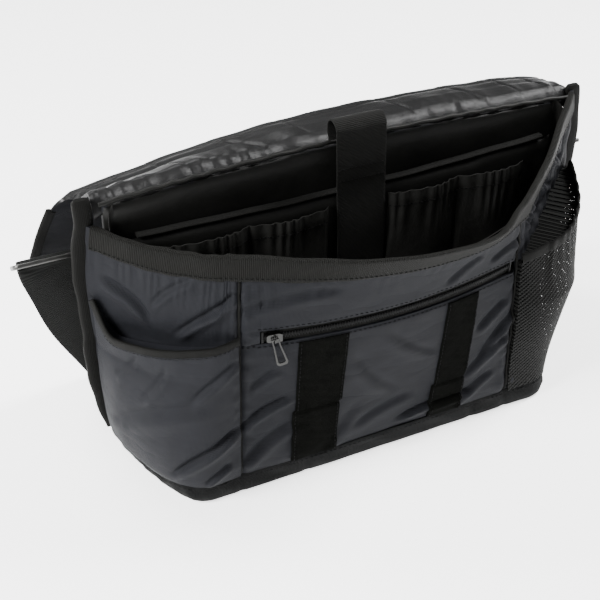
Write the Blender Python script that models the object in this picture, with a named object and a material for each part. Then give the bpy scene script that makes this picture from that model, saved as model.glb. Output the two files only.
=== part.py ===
"""Soft laptop messenger bag, standing open with its flap folded back.

Metres. +Z is up, +X runs along the bag's width, +Y points to its back.
The front edge of the base lies on y = 0 and the base rests on z = 0.
"""

import math

import bmesh
import bpy
import numpy as np

# ---------------------------------------------------------------- driving dimensions
BOOT_TOP = 0.018  # height of the abrasion-resistant base tray
FABRIC = 0.002  # face fabric with its lining
GAP = 0.0003
ZIP_Z = 0.140  # height of the front pocket's zipper
ZIP_HALF = 0.0055  # half height of the zipper's window
ZIP_RADIUS = 0.410  # the front bows out, so the zipper is an arc
ZIP_FRONT = -0.0085  # how far forward the arc reaches
ZIP_X = (-0.1015, 0.1110)
RIM_TAPE = 0.0185  # visible height of the grosgrain on the rim
WEBBING = 0.0016
BACK_PAD = 0.0095
DIVIDER_Y = (0.0705, 0.0765)
CENTRE_X = 0.0075  # middle of the back panel and of the flap
ROOT_AXIS = (0.0, 0.0885, 0.2425)  # seam where the flap leaves the back panel
CREST_AXIS = (0.0, 0.1200, 0.2400)  # where the flap folds over the back panel
FLAP_LEAN = math.radians(14.0)
FLAP_START = (0.1300, 0.2330)
FLAP_TOP_LENGTH = 0.134
FLAP_FRONT_LENGTH = 0.094
FLAP_THICK = 0.0025
STRAP_WIDTH = 0.041
STRAP_X = 0.0070
TAB_WIDTH = 0.047
RING_INNER = (0.050, 0.014)
RING_BAR = 0.0020

# The wall runs from the back left edge, round the front, to the back right edge.
# One row for each named place along it: base (x, y), zipper height (x, y), rim (x, y, z).
WALL = [
    ((-0.190, 0.094), (-0.1995, 0.0880), (-0.196, 0.084, 0.2130)),  # back left edge
    ((-0.183, 0.065), (-0.1810, 0.0655), (-0.176, 0.064, 0.2080)),
    ((-0.177, 0.041), (-0.1650, 0.0460), (-0.156, 0.048, 0.2050)),
    ((-0.168, 0.015), (-0.1480, 0.0290), (-0.138, 0.031, 0.2055)),
    ((-0.153, 0.000), (-0.1320, 0.0150), (-0.124, 0.021, 0.2065)),
    ((-0.122, 0.000), (-0.117, 0.0082), (-0.112, 0.015, 0.2065)),  # left front seam
    ((-0.074, 0.000), (-0.071, -0.0024), (-0.068, -0.005, 0.2040)),
    ((-0.026, 0.000), (-0.024, -0.0078), (-0.022, -0.026, 0.2030)),
    ((0.022, 0.000), (0.023, -0.0079), (0.028, -0.0355, 0.2030)),
    ((0.070, 0.000), (0.070, -0.0025), (0.070, -0.032, 0.2030)),
    ((0.117, 0.000), (0.117, 0.0082), (0.104, -0.005, 0.2030)),  # right front seam
    ((0.150, 0.000), (0.136, 0.0200), (0.122, 0.008, 0.2050)),
    ((0.165, 0.012), (0.152, 0.0340), (0.140, 0.022, 0.2085)),
    ((0.172, 0.036), (0.170, 0.0500), (0.159, 0.037, 0.2160)),
    ((0.182, 0.063), (0.191, 0.0700), (0.184, 0.061, 0.2270)),
    ((0.194, 0.093), (0.213, 0.0890), (0.210, 0.086, 0.2360)),  # back right edge
]
LEFT_SEAM, RIGHT_SEAM, LAST = 5, 10, 15
# How far the gussets belly out above the base, for the same places.
BELLY = [0.004, 0.011, 0.011, 0.007, 0.003] + [0.0] * 7 + [0.001, 0.002, 0.002, 0.001]
BELLY_TOP = 0.110

# ---------------------------------------------------------------- scene and materials
for old in list(bpy.data.objects):
    bpy.data.objects.remove(old, do_unlink=True)
scene = bpy.context.scene
scene.unit_settings.system = "METRIC"
scene.unit_settings.scale_length = 1.0

COLOURS = {
    "shell": (0.045, 0.048, 0.060, 0.80),
    "boot": (0.018, 0.019, 0.020, 0.75),
    "tape": (0.016, 0.016, 0.015, 0.70),
    "lining": (0.010, 0.010, 0.011, 0.45),
    "mesh": (0.014, 0.014, 0.014, 0.70),
    "velcro": (0.008, 0.008, 0.008, 0.95),
    "metal": (0.600, 0.600, 0.590, 0.35),
    "coil": (0.012, 0.012, 0.012, 0.40),
    "board": (0.050, 0.050, 0.050, 0.60),
}


def material(name, colour):
    made = bpy.data.materials.new(name)
    made.use_nodes = True
    shader = made.node_tree.nodes["Principled BSDF"]
    red, green, blue, rough = COLOURS[colour]
    shader.inputs["Base Color"].default_value = (red, green, blue, 1.0)
    shader.inputs["Roughness"].default_value = rough
    shader.inputs["Metallic"].default_value = 1.0 if colour == "metal" else 0.0
    made.diffuse_color = (red, green, blue, 1.0)
    return made


def add(name, points, faces, colour, smooth=True, origin=None):
    """One closed solid, faces out, with its own material."""
    mesh = bpy.data.meshes.new(name)
    shift = np.array(origin if origin is not None else (0.0, 0.0, 0.0))
    mesh.from_pydata([tuple(np.array(p) - shift) for p in points], [], faces)
    work = bmesh.new()
    work.from_mesh(mesh)
    bmesh.ops.recalc_face_normals(work, faces=work.faces)
    if work.calc_volume(signed=True) < 0:
        bmesh.ops.reverse_faces(work, faces=work.faces)
    work.to_mesh(mesh)
    work.free()
    if smooth:
        mesh.shade_smooth()
        mesh.set_sharp_from_angle(angle=math.radians(40))
    obj = bpy.data.objects.new(name, mesh)
    obj.location = tuple(shift)
    mesh.materials.append(material("m_" + name, colour))
    scene.collection.objects.link(obj)
    return obj


# ---------------------------------------------------------------- shape helpers
def through(rows, s):
    """A smooth curve through the rows, at place s counted in rows."""
    rows = np.asarray(rows, float)
    last = len(rows) - 1
    i = int(min(max(math.floor(s), 0), last - 1))
    t = s - i
    p1, p2 = rows[i], rows[i + 1]
    p0 = rows[i - 1] if i > 0 else 2 * p1 - p2
    p3 = rows[i + 2] if i + 2 <= last else 2 * p2 - p1
    return (
        p1
        + 0.5 * t * (p2 - p0)
        + t * t * (p0 - 2.5 * p1 + 2 * p2 - 0.5 * p3)
        + t**3 * (1.5 * (p1 - p2) + 0.5 * (p3 - p0))
    )


BASE = [row[0] for row in WALL]
MID = [row[1] for row in WALL]
RIM = [row[2] for row in WALL]


def rim_z(s):
    return float(through(RIM, s)[2])


def wall(s, z):
    """The outer face of the front and the gussets: ruled to the zipper, then flaring."""
    low, mid, top = through(BASE, s), through(MID, s), through(RIM, s)
    slope = (mid - low) / ZIP_Z
    if z <= ZIP_Z:
        flat = low + slope * z
    else:
        span = top[2] - ZIP_Z
        bend = (top[:2] - mid - slope * span) / span**2
        flat = mid + slope * (z - ZIP_Z) + bend * (z - ZIP_Z) ** 2
    return np.array([flat[0], flat[1], z])


def wall_out(s, z):
    """The level direction out of the wall."""
    ahead = wall(min(s + 0.05, LAST), z) - wall(max(s - 0.05, 0.0), z)
    out = np.array([ahead[1], -ahead[0], 0.0])
    return out / np.linalg.norm(out)


def belly(s, z):
    t = min(max(z / BELLY_TOP, 0.0), 1.0)
    amount = float(through([[b] for b in BELLY], s)[0])
    return max(amount, 0.0) * (4 * t * (1 - t)) ** 0.8


def skin(s, z, out=0.0):
    return wall(s, z) + wall_out(s, z) * (out + belly(s, z))


def grid_faces(rows, columns, first, turned):
    faces = []
    for r in range(rows - 1):
        for c in range(columns - 1):
            a = first + r * columns + c
            quad = (a, a + 1, a + columns + 1, a + columns)
            faces.append(quad[::-1] if turned else quad)
    return faces


def shell(name, front, back, colour, origin=None):
    """A closed solid between two grids of points with the same rows and columns."""
    front, back = np.asarray(front, float), np.asarray(back, float)
    rows, columns = front.shape[:2]
    points = np.vstack([front.reshape(-1, 3), back.reshape(-1, 3)])
    more = rows * columns
    faces = grid_faces(rows, columns, 0, False) + grid_faces(rows, columns, more, True)
    edge = [(0, c) for c in range(columns)]
    edge += [(r, columns - 1) for r in range(1, rows)]
    edge += [(rows - 1, c) for c in range(columns - 2, -1, -1)]
    edge += [(r, 0) for r in range(rows - 2, 0, -1)]
    ring = [r * columns + c for r, c in edge]
    for a, b in zip(ring, ring[1:] + ring[:1]):
        faces.append((a, a + more, b + more, b))
    return add(name, points, faces, colour, origin=origin)


def sweep(name, sections, colour, closed=False, origin=None, smooth=True):
    """A closed solid through cross-sections with the same number of points."""
    sections = np.asarray(sections, float)
    count, size = sections.shape[:2]
    faces = []
    for i in range(count if closed else count - 1):
        j = (i + 1) % count
        for k in range(size):
            m = (k + 1) % size
            faces.append((i * size + k, i * size + m, j * size + m, j * size + k))
    if not closed:
        faces.append(tuple(range(size)))
        faces.append(tuple((count - 1) * size + k for k in range(size))[::-1])
    return add(name, sections.reshape(-1, 3), faces, colour, smooth, origin)


def along(path, half_wide, half_thick, wide=(1.0, 0.0, 0.0), corner=0.3, sides=8):
    """Rounded flat sections along a path, wide in the given direction."""
    path = np.asarray(path, float)
    wides = np.broadcast_to(np.asarray(wide, float), path.shape)
    sections = []
    for i, here in enumerate(path):
        step = path[min(i + 1, len(path) - 1)] - path[max(i - 1, 0)]
        step /= np.linalg.norm(step)
        w = wides[i] - step * (wides[i] @ step)
        w /= np.linalg.norm(w)
        n = np.cross(step, w)
        ring = []
        for k in range(sides):
            angle = 2 * math.pi * (k + 0.5) / sides
            c, q = math.cos(angle), math.sin(angle)
            x = math.copysign(abs(c) ** corner, c) * half_wide
            y = math.copysign(abs(q) ** corner, q) * half_thick
            ring.append(here + w * x + n * y)
        sections.append(ring)
    return sections


def wall_panel(name, places, low, high, colour, rows, out=0.0, thick=FABRIC):
    """Part of the wall. low, high, out and thick may depend on the place s (and z)."""

    def value(what, *at):
        return what(*at) if callable(what) else what

    front, back = [], []
    for r in range(rows + 1):
        line, behind = [], []
        for s in places:
            z0, z1 = value(low, s), value(high, s)
            z = z0 + (z1 - z0) * r / rows
            o = out(s, z) if callable(out) else out
            line.append(skin(s, z, o))
            behind.append(skin(s, z, o - value(thick, s)))
        front.append(line)
        back.append(behind)
    return shell(name, front, back, colour)


# ---------------------------------------------------------------- front and gussets
EDGE = 0.018  # gap at a seam, counted in rows of WALL


def under_rim(s):
    return rim_z(s) - 0.0013


def place_at(x, z):
    """The place s along the front where the wall has this x."""
    low, high = float(LEFT_SEAM), float(RIGHT_SEAM)
    for _ in range(40):
        middle = (low + high) / 2
        if wall(middle, z)[0] < x:
            low = middle
        else:
            high = middle
    return low


SLOT_START = place_at(ZIP_X[0] - 0.0012, ZIP_Z)


def slot_floor(s):
    """Bottom of the strip over the zipper. It drops where the zipper has not begun."""
    return ZIP_Z + ZIP_HALF if s > SLOT_START - 1e-6 else ZIP_Z - ZIP_HALF + 0.0004


LEFT_PLACES = np.linspace(0.04, LEFT_SEAM - EDGE, 22)
RIGHT_PLACES = np.linspace(RIGHT_SEAM + EDGE, LAST - 0.04, 26)
FRONT_PLACES = np.linspace(LEFT_SEAM, RIGHT_SEAM, 35)
FRONT_PLACES[0] += EDGE
FRONT_PLACES[-1] -= EDGE
SLOT_PLACES = sorted([*FRONT_PLACES, SLOT_START, SLOT_START - 0.012])

wall_panel(
    "front_panel_lower", FRONT_PLACES[::2], BOOT_TOP + GAP, ZIP_Z - ZIP_HALF, "shell", 5
)
wall_panel("front_panel_upper", SLOT_PLACES, slot_floor, under_rim, "shell", 5)
wall_panel("gusset_left", LEFT_PLACES, BOOT_TOP + GAP, under_rim, "shell", 8)
wall_panel("gusset_right", RIGHT_PLACES, BOOT_TOP + GAP, under_rim, "shell", 9)


def lining_back(s, z):
    """The front pocket's inner wall stands off in the middle and joins in at the seams."""
    across = (s - LEFT_SEAM) / (RIGHT_SEAM - LEFT_SEAM)
    return -FABRIC - 0.0015 - 0.0060 * math.sin(math.pi * across) ** 0.6


wall_panel(
    "front_pocket_lining",
    np.linspace(LEFT_SEAM + 0.06, RIGHT_SEAM - 0.06, 19),
    0.0062,
    lambda s: rim_z(s) - RIM_TAPE - 0.0010,
    "lining",
    5,
    out=lining_back,
    thick=0.0010,
)

# The grosgrain on the rim: folded over the panels' top edge, with a leg on each side.
LEG = (
    (0.0014, -RIM_TAPE),
    (0.0014, -RIM_TAPE / 2),
    (0.0014, 0.0),
    (-0.0036, 0.0),
    (-0.0036, -RIM_TAPE / 2),
    (-0.0036, -RIM_TAPE),
    (-0.0027, -RIM_TAPE),
    (-0.0027, -RIM_TAPE / 2),
    (-0.0027, -0.0008),
    (0.0006, -0.0008),
    (0.0006, -RIM_TAPE / 2),
    (0.0006, -RIM_TAPE),
)
RIM_PLACES = [*np.linspace(0.04, LEFT_SEAM, 22), *np.linspace(LEFT_SEAM, RIGHT_SEAM, 35)[1:]]
RIM_PLACES += [*np.linspace(RIGHT_SEAM, LAST - 0.04, 26)[1:]]
sweep(
    "rim_binding",
    [
        [skin(s, rim_z(s) + down, out) for out, down in LEG]
        for s in RIM_PLACES
    ],
    "tape",
)

# ---------------------------------------------------------------- base
BACK_BASE_Y = 0.1020


def outline(z, inward=0.0, tuck=0.0, count=60):
    """The outline of the base at height z, moved inward, and tucked under at the sides."""
    loop = []
    for s in np.linspace(0.0, LAST, count + 1):
        side = min(max((LEFT_SEAM - s) / 2, 0.0), 1.0)
        side = max(side, 0.3 * min(max((s - RIGHT_SEAM) / 2, 0.0), 1.0))
        loop.append(skin(s, z, -inward - tuck * side)[:2])
    left, right = skin(0.0, z, -tuck), skin(LAST, z, -0.3 * tuck)
    back = BACK_BASE_Y - inward
    loop.append((right[0] + 0.0005 - inward, right[1] + 0.0060 - inward))
    loop.append((right[0] - 0.0040 - inward, back))
    for x in np.linspace(right[0] - 0.03, left[0] + 0.03, 7):
        loop.append((x, back))
    loop.append((left[0] + 0.0040 + inward, back))
    loop.append((left[0] - 0.0005 + inward, left[1] + 0.0060 - inward))
    return [(x, y, z) for x, y in loop]


def tray(name, loops, colour):
    """A solid of revolution-like loops, closed by the first and last loop's faces."""
    size = len(loops[0])
    faces = []
    for i in range(len(loops) - 1):
        for k in range(size):
            m = (k + 1) % size
            faces.append((i * size + k, i * size + m, (i + 1) * size + m, (i + 1) * size + k))
    faces.append(tuple(range(size))[::-1])
    faces.append(tuple((len(loops) - 1) * size + k for k in range(size)))
    return add(name, [p for loop in loops for p in loop], faces, colour)


def lifted(loop, z):
    return [(x, y, z) for x, y, _ in loop]


tray(
    "base_boot",
    [
        lifted(outline(0.002, 0.0012, 0.0075), 0.0),
        lifted(outline(0.004, 0.0, 0.0030), 0.0035),
        outline(0.0100),
        outline(BOOT_TOP),
        outline(BOOT_TOP, FABRIC),
        outline(0.0100, FABRIC),
        lifted(outline(0.004, 0.0025, 0.0035), 0.0045),
        lifted(outline(0.002, 0.0045, 0.0080), 0.0022),
    ],
    "boot",
)
tray(
    "base_board",
    [
        lifted(outline(0.002, 0.0080, 0.0080), 0.0026),
        lifted(outline(0.002, 0.0080, 0.0080), 0.0056),
    ],
    "board",
)

# ---------------------------------------------------------------- back panel
def back_inner(z):
    return 0.0905 - 0.0075 * z / 0.236


def back_top(x):
    """Height of the back panel: a shallow arch."""
    across = (x - CENTRE_X) / 0.2
    return 0.2360 - 0.0080 * across**2 + 0.0020 * across


def back_side(z, side):
    at = skin(0.0 if side < 0 else LAST, min(z, 0.21 if side < 0 else 0.235))
    return at[0] - side * (0.0090 if side < 0 else 0.0112)


def back_grid(y_of):
    grid = []
    for v in np.linspace(0.0, 1.0, 9):
        line = []
        for u in np.linspace(0.0, 1.0, 17):
            z = BOOT_TOP + GAP + v * (0.236 - BOOT_TOP)
            x = (1 - u) * back_side(z, -1) + u * back_side(z, 1)
            z = BOOT_TOP + GAP + v * (back_top(x) - BOOT_TOP - GAP)
            puff = 0.0012 * (math.sin(math.pi * u) * math.sin(math.pi * v)) ** 0.5
            line.append((x, y_of(z, puff), z))
        grid.append(line)
    return grid


shell(
    "back_panel",
    back_grid(lambda z, puff: back_inner(z) - puff),
    back_grid(lambda z, puff: back_inner(z) + BACK_PAD + puff),
    "shell",
)


def edge_binding(name, side, top):
    """Tape round the seam of a gusset and the back panel, standing out sideways."""
    place = 0.0 if side < 0 else LAST
    path = []
    for z in np.linspace(BOOT_TOP + 0.0006, top, 12):
        at = skin(place, min(z, rim_z(place)))
        lean = at[1] - back_inner(z)
        path.append((at[0] + side * 0.0033, back_inner(z) + max(lean, 0.0) + 0.0048, z))
    sweep(name, along(path, 0.0066, 0.0030, corner=0.5), "tape")


edge_binding("back_binding_left", -1, 0.2325)
edge_binding("back_binding_right", 1, 0.2385)

# The seam of the lining and the flap, a thin piping on the back panel's top edge.
piping = []
for x in np.linspace(-0.1835, 0.2000, 17):
    piping.append((x, back_inner(0.236) + 0.0004, back_top(x) + 0.0022))
sweep(
    "lining_piping",
    along(piping, 0.0016, 0.0016, wide=(0.0, 1.0, 0.0), corner=1.0, sides=6),
    "lining",
)


# ---------------------------------------------------------------- side pockets
def mouth_left(s):
    return 0.1190 + 0.0210 * (s / LEFT_SEAM) ** 1.1


def left_bulge(s, z):
    across = min(max(s / LEFT_SEAM, 0.0), 1.0)
    up = min(max((z - BOOT_TOP) / 0.10, 0.0), 1.0)
    rounded = math.sin(math.pi * across) ** 0.55
    return 0.0018 + 0.0112 * rounded * up**0.7


wall_panel(
    "side_pocket_left",
    np.linspace(0.05, LEFT_SEAM - 0.06, 19),
    BOOT_TOP + 0.0006,
    mouth_left,
    "shell",
    6,
    out=left_bulge,
    thick=0.0014,
)
mouth = [
    skin(s, mouth_left(s) + 0.0030, left_bulge(s, mouth_left(s)) - 0.0007)
    for s in np.linspace(0.12, LEFT_SEAM - 0.08, 24)
]
sweep(
    "side_pocket_binding",
    along(mouth, 0.0026, 0.0012, wide=(0.0, 0.0, 1.0), corner=0.6),
    "tape",
)


def mouth_right(s):
    return 0.1420 + 0.0240 * ((s - RIGHT_SEAM) / (LAST - RIGHT_SEAM)) ** 0.7


def right_bulge(s, z):
    across = min(max((s - RIGHT_SEAM) / (LAST - RIGHT_SEAM), 0.0), 1.0)
    up = min(max((z - BOOT_TOP) / 0.085, 0.0), 1.0)
    rounded = math.sin(math.pi * across) ** 0.8
    return 0.0018 + 0.0280 * rounded * up**1.2


wall_panel(
    "mesh_pocket_right",
    np.linspace(RIGHT_SEAM + 0.06, LAST - 0.10, 21),
    BOOT_TOP + 0.0006,
    mouth_right,
    "mesh",
    8,
    out=right_bulge,
    thick=0.0012,
)
mouth = [
    skin(s, mouth_right(s) + 0.0034, right_bulge(s, mouth_right(s)) - 0.0006)
    for s in np.linspace(RIGHT_SEAM + 0.08, LAST - 0.12, 26)
]
sweep(
    "mesh_pocket_elastic",
    along(mouth, 0.0030, 0.0011, wide=(0.0, 0.0, 1.0), corner=0.6),
    "tape",
)

# ---------------------------------------------------------------- zipper
ZIP_CENTRE = np.array([0.0, ZIP_FRONT + ZIP_RADIUS])


def arc(angle, z, out):
    """A point near the zipper's arc: angle from the middle, height, and distance out."""
    r = ZIP_RADIUS + out
    return np.array([r * math.sin(angle), ZIP_CENTRE[1] - r * math.cos(angle), z])


ZIP_ANGLES = (math.asin(ZIP_X[0] / ZIP_RADIUS), math.asin(ZIP_X[1] / ZIP_RADIUS))


def arc_strip(name, half, outs, colour, ends, steps):
    front, back = [], []
    for z in (ZIP_Z - half, ZIP_Z + half):
        front.append([arc(a, z, outs[1]) for a in np.linspace(*ends, steps)])
        back.append([arc(a, z, outs[0]) for a in np.linspace(*ends, steps)])
    return shell(name, front, back, colour)


arc_strip("zipper_tape", 0.0090, (-0.0037, -0.0029), "tape", ZIP_ANGLES, 25)
arc_strip(
    "zipper_coil",
    0.0026,
    (-0.0026, -0.0010),
    "coil",
    (ZIP_ANGLES[0] + 0.004, ZIP_ANGLES[1] - 0.004),
    25,
)

SLIDER_AT = ZIP_ANGLES[0] + 0.022
MID_SLIDER = arc(SLIDER_AT, ZIP_Z, 0.0)
SLIDE_X = np.array([math.cos(SLIDER_AT), math.sin(SLIDER_AT), 0.0])
SLIDE_OUT = np.array([math.sin(SLIDER_AT), -math.cos(SLIDER_AT), 0.0])
UP = np.array([0.0, 0.0, 1.0])


def rounded_plate(centre, ex, ez, en, widths, thick):
    """Two rings of points for a plate whose half widths change along its length."""
    outline_points = []
    for length, half in widths:
        outline_points.append((half, length))
    for length, half in reversed(widths):
        outline_points.append((-half, length))
    low = [centre + ex * x + ez * z - en * thick / 2 for x, z in outline_points]
    high = [centre + ex * x + ez * z + en * thick / 2 for x, z in outline_points]
    return low, high


# The slider: a body over the coil and a bridge that holds the pull.
body = [(-0.0058, 0.0022), (-0.0045, 0.0032), (0.0030, 0.0040), (0.0058, 0.0030)]
low, high = rounded_plate(
    MID_SLIDER + SLIDE_OUT * 0.0006, UP, SLIDE_X, SLIDE_OUT, body, 0.0022
)
slider_points = [low, high]
slider = sweep("zipper_slider", slider_points, "metal", smooth=False)
bridge_path = []
for k in range(9):
    angle = math.pi * k / 8
    bridge_path.append(
        MID_SLIDER
        + UP * (-0.0028 * math.cos(angle))
        + SLIDE_OUT * (0.0012 + 0.0038 * math.sin(angle) ** 0.6)
    )
bridge = sweep(
    "cutter_bridge", along(bridge_path, 0.0006, 0.0005, wide=SLIDE_X, corner=0.5), "metal"
)
bridge.hide_render = True
bridge.display_type = "WIRE"
union = slider.modifiers.new("bridge", "BOOLEAN")
union.operation = "UNION"
union.solver = "EXACT"
union.object = bridge

# The pull hangs from the bridge and leans a little in its own plane.
PULL_LEAN = math.radians(14.0)
PULL_AXIS = SLIDE_X * math.cos(PULL_LEAN) + UP * math.sin(PULL_LEAN)
PULL_DOWN = SLIDE_X * math.sin(PULL_LEAN) - UP * math.cos(PULL_LEAN)
PULL_AT = MID_SLIDER + SLIDE_OUT * 0.0033


def ring_plate(name, centre, ex, ez, en, outer, inner, thick, colour):
    """A flat plate with one window: outer and inner outlines have the same count."""
    count = len(outer)
    points = []
    for outline_points, level in (
        (outer, thick / 2),
        (inner, thick / 2),
        (inner, -thick / 2),
        (outer, -thick / 2),
    ):
        points += [centre + ex * x + ez * z + en * level for x, z in outline_points]
    faces = []
    for i in range(4):
        j = (i + 1) % 4
        for k in range(count):
            m = (k + 1) % count
            faces.append((i * count + k, i * count + m, j * count + m, j * count + k))
    return add(name, points, faces, colour, smooth=False, origin=centre)


pull_outer = [
    (-0.0027, -0.0006),
    (0.0027, -0.0006),
    (0.0030, 0.0070),
    (0.0044, 0.0220),
    (0.0030, 0.0240),
    (-0.0030, 0.0240),
    (-0.0044, 0.0220),
    (-0.0030, 0.0070),
]
pull_inner = [
    (-0.0018, 0.0006),
    (0.0018, 0.0006),
    (0.0019, 0.0072),
    (0.0028, 0.0205),
    (0.0018, 0.0216),
    (-0.0018, 0.0216),
    (-0.0028, 0.0205),
    (-0.0019, 0.0072),
]
ring_plate(
    "zipper_pull",
    PULL_AT,
    PULL_AXIS,
    PULL_DOWN,
    SLIDE_OUT,
    pull_outer,
    pull_inner,
    0.0010,
    "metal",
)
for name, at in (("zipper_end_left", ZIP_ANGLES[0]), ("zipper_end_right", ZIP_ANGLES[1])):
    step = 0.0017 if at < 0 else -0.0017
    centre = arc(at, ZIP_Z, -0.0017)
    tangent = np.array([math.cos(at), math.sin(at), 0.0])
    outward = np.array([math.sin(at), -math.cos(at), 0.0])
    low, high = rounded_plate(
        centre + tangent * step * 0.35,
        UP,
        tangent,
        outward,
        [(-0.0008, 0.0050), (0.0008, 0.0050)],
        0.0018,
    )
    sweep(name, [low, high], "coil", smooth=False)


# ---------------------------------------------------------------- hook and loop strips
def front_strip(name, x_low, x_high, half, z_low, z_high):
    """A strip sewn on the front panel. Its middle goes from x_low up to x_high."""
    front, back = [], []
    for z in np.linspace(z_low, z_high, 9):
        middle = x_low + (x_high - x_low) * (z - z_low) / (z_high - z_low)
        places = [place_at(x, z) for x in np.linspace(middle - half, middle + half, 5)]
        front.append([skin(s, z, 0.0020) for s in places])
        back.append([skin(s, z, 0.0004) for s in places])
    shell(name, front, back, "velcro")


front_strip("loop_strip_left", -0.0600, -0.0560, 0.0190, 0.0200, 0.1325)
front_strip("loop_strip_right", 0.0570, 0.0620, 0.0150, 0.0200, 0.1325)


# ---------------------------------------------------------------- inside
def gusset_x(y, z, side):
    """x of the gusset's inner face at this depth and height."""
    low, high = (0.0, float(LEFT_SEAM)) if side < 0 else (float(RIGHT_SEAM), float(LAST))
    for _ in range(40):
        middle = (low + high) / 2
        behind = skin(middle, z, -FABRIC)[1] > y
        if behind == (side < 0):
            low = middle
        else:
            high = middle
    return skin(low, z, -FABRIC)[0]


def divider_top(x):
    u = (x - CENTRE_X) / 0.18
    return 0.2005 + 0.0030 * u + 0.0050 * u * u


def divider_grid(y, rows=7, columns=17):
    grid = []
    for v in np.linspace(0.0, 1.0, rows):
        line = []
        for u in np.linspace(0.0, 1.0, columns):
            z = 0.0062 + v * 0.1943
            left = max(gusset_x(w, z, -1) for w in DIVIDER_Y) + 0.0045
            right = min(gusset_x(w, z, 1) for w in DIVIDER_Y) - 0.0045
            x = (1 - u) * left + u * right
            line.append((x, y, 0.0062 + v * (divider_top(x) - 0.0062)))
        grid.append(line)
    return grid


shell("laptop_divider", divider_grid(DIVIDER_Y[0]), divider_grid(DIVIDER_Y[1]), "lining")
tape = []
for x in np.linspace(-0.1660, 0.1740, 17):
    tape.append((x, sum(DIVIDER_Y) / 2, divider_top(x) + 0.0016))
sweep(
    "divider_binding",
    along(tape, 0.0033, 0.0013, wide=(0.0, 1.0, 0.0), corner=0.6),
    "tape",
)


def organiser(name, x0, x1, stitched):
    """A gathered pocket on the divider, sewn down at its ends and at the stitched lines."""
    lines = [x0, *stitched, x1]
    front, back = [], []
    for v in np.linspace(0.0, 1.0, 6):
        line, behind = [], []
        for a, b in zip(lines, lines[1:]):
            for u in np.linspace(0.0, 1.0, 7)[(0 if a == x0 else 1) :]:
                x = a + (b - a) * u
                z = 0.0300 + v * (0.1930 - 0.0300)
                full = math.sin(math.pi * u) ** 0.6 * min(1.0, 0.25 + v)
                y = DIVIDER_Y[0] - 0.0005 - 0.0080 * full
                line.append((x, y - 0.0012, z))
                behind.append((x, y, z))
        front.append(line)
        back.append(behind)
    shell(name, front, back, "lining")


organiser("organiser_left", -0.1500, -0.0180, (-0.0830,))
organiser("organiser_right", 0.0330, 0.1560, (0.0950,))

# The strap that closes the laptop sleeve: over the divider and down its front.
LEG_Y = 0.0675
strap_path = [(0.0, 0.0800, 0.2420), (0.0, 0.0822, 0.2470)]
for k in range(9):
    angle = math.pi * k / 8
    strap_path.append(
        (
            0.0,
            (0.0825 + LEG_Y) / 2 + (0.0825 - LEG_Y) / 2 * math.cos(angle),
            0.2520 + 0.0078 * math.sin(angle),
        )
    )
for z in (0.2350, 0.2150, 0.1950, 0.1750, 0.1550, 0.1350):
    strap_path.append((0.0, LEG_Y, z))
strap_path = [
    (STRAP_X + 0.0035 * (0.2520 - p[2]) / 0.11, p[1], p[2]) for p in strap_path
]
STRAP_AXIS = (STRAP_X, 0.0800, 0.2415)
sweep(
    "sleeve_strap",
    along(strap_path, STRAP_WIDTH / 2, WEBBING / 2, corner=0.25),
    "tape",
    origin=STRAP_AXIS,
)
patch_x = STRAP_X + 0.0032
hook = [(patch_x, LEG_Y + WEBBING / 2 + 0.0006, z) for z in (0.1380, 0.1550, 0.1720)]
sweep("strap_hook_patch", along(hook, 0.0180, 0.0004, corner=0.25), "velcro")
loop = [(patch_x, DIVIDER_Y[0] - 0.0006, z) for z in (0.1250, 0.1550, 0.1850)]
sweep("divider_loop_patch", along(loop, 0.0190, 0.0004, corner=0.25), "velcro")


# ---------------------------------------------------------------- flap
def half_width(d):
    """Half the flap's width at distance d down from the crest."""
    at = [0.0, 0.018, 0.035, 0.061, 0.0825, 0.1175, 0.133, 0.147, 0.163, 0.178, 0.193]
    half = [0.204, 0.212, 0.221, 0.2305, 0.2365, 0.2345, 0.2325, 0.2295, 0.2235, 0.217]
    at += [0.208, 0.2205, 0.228]
    half += [0.209, 0.199, 0.183, 0.165]
    return float(np.interp(d, at, half))


FLAP_DOWN = np.array([0.0, math.sin(FLAP_LEAN), -math.cos(FLAP_LEAN)])
FLAP_BACK = np.array([0.0, math.cos(FLAP_LEAN), math.sin(FLAP_LEAN)])


def flap_point(x, d, back=0.0):
    start = np.array([0.0, *FLAP_START])
    return start + FLAP_DOWN * d + FLAP_BACK * back + np.array([x, 0.0, 0.0])


def sag(u):
    """How far the folded crest droops, at u from -1 on the left to 1 on the right."""
    return 0.0300 * abs(u) ** 1.7 if u < 0 else 0.0145 * u**2.6


def flap_part(name, d0, d1, rows, origin, droop=0.0, ahead=0.0):
    """A panel inside its bindings. Ahead keeps it clear of the binding round the corners."""
    grids = []
    for back in (-FLAP_THICK / 2, FLAP_THICK / 2):
        grid = []
        for v in np.linspace(0.0, 1.0, rows):
            line = []
            for u in np.linspace(-1.0, 1.0, 15):
                start = d0 + droop * sag(u) / math.cos(FLAP_LEAN)
                d = start + v * (d1 - start)
                half = half_width(d + ahead) - 0.0065
                line.append(flap_point(CENTRE_X + u * half, d, back))
            grid.append(line)
        grids.append(grid)
    return shell(name, grids[0], grids[1], "shell", origin=origin)


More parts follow.
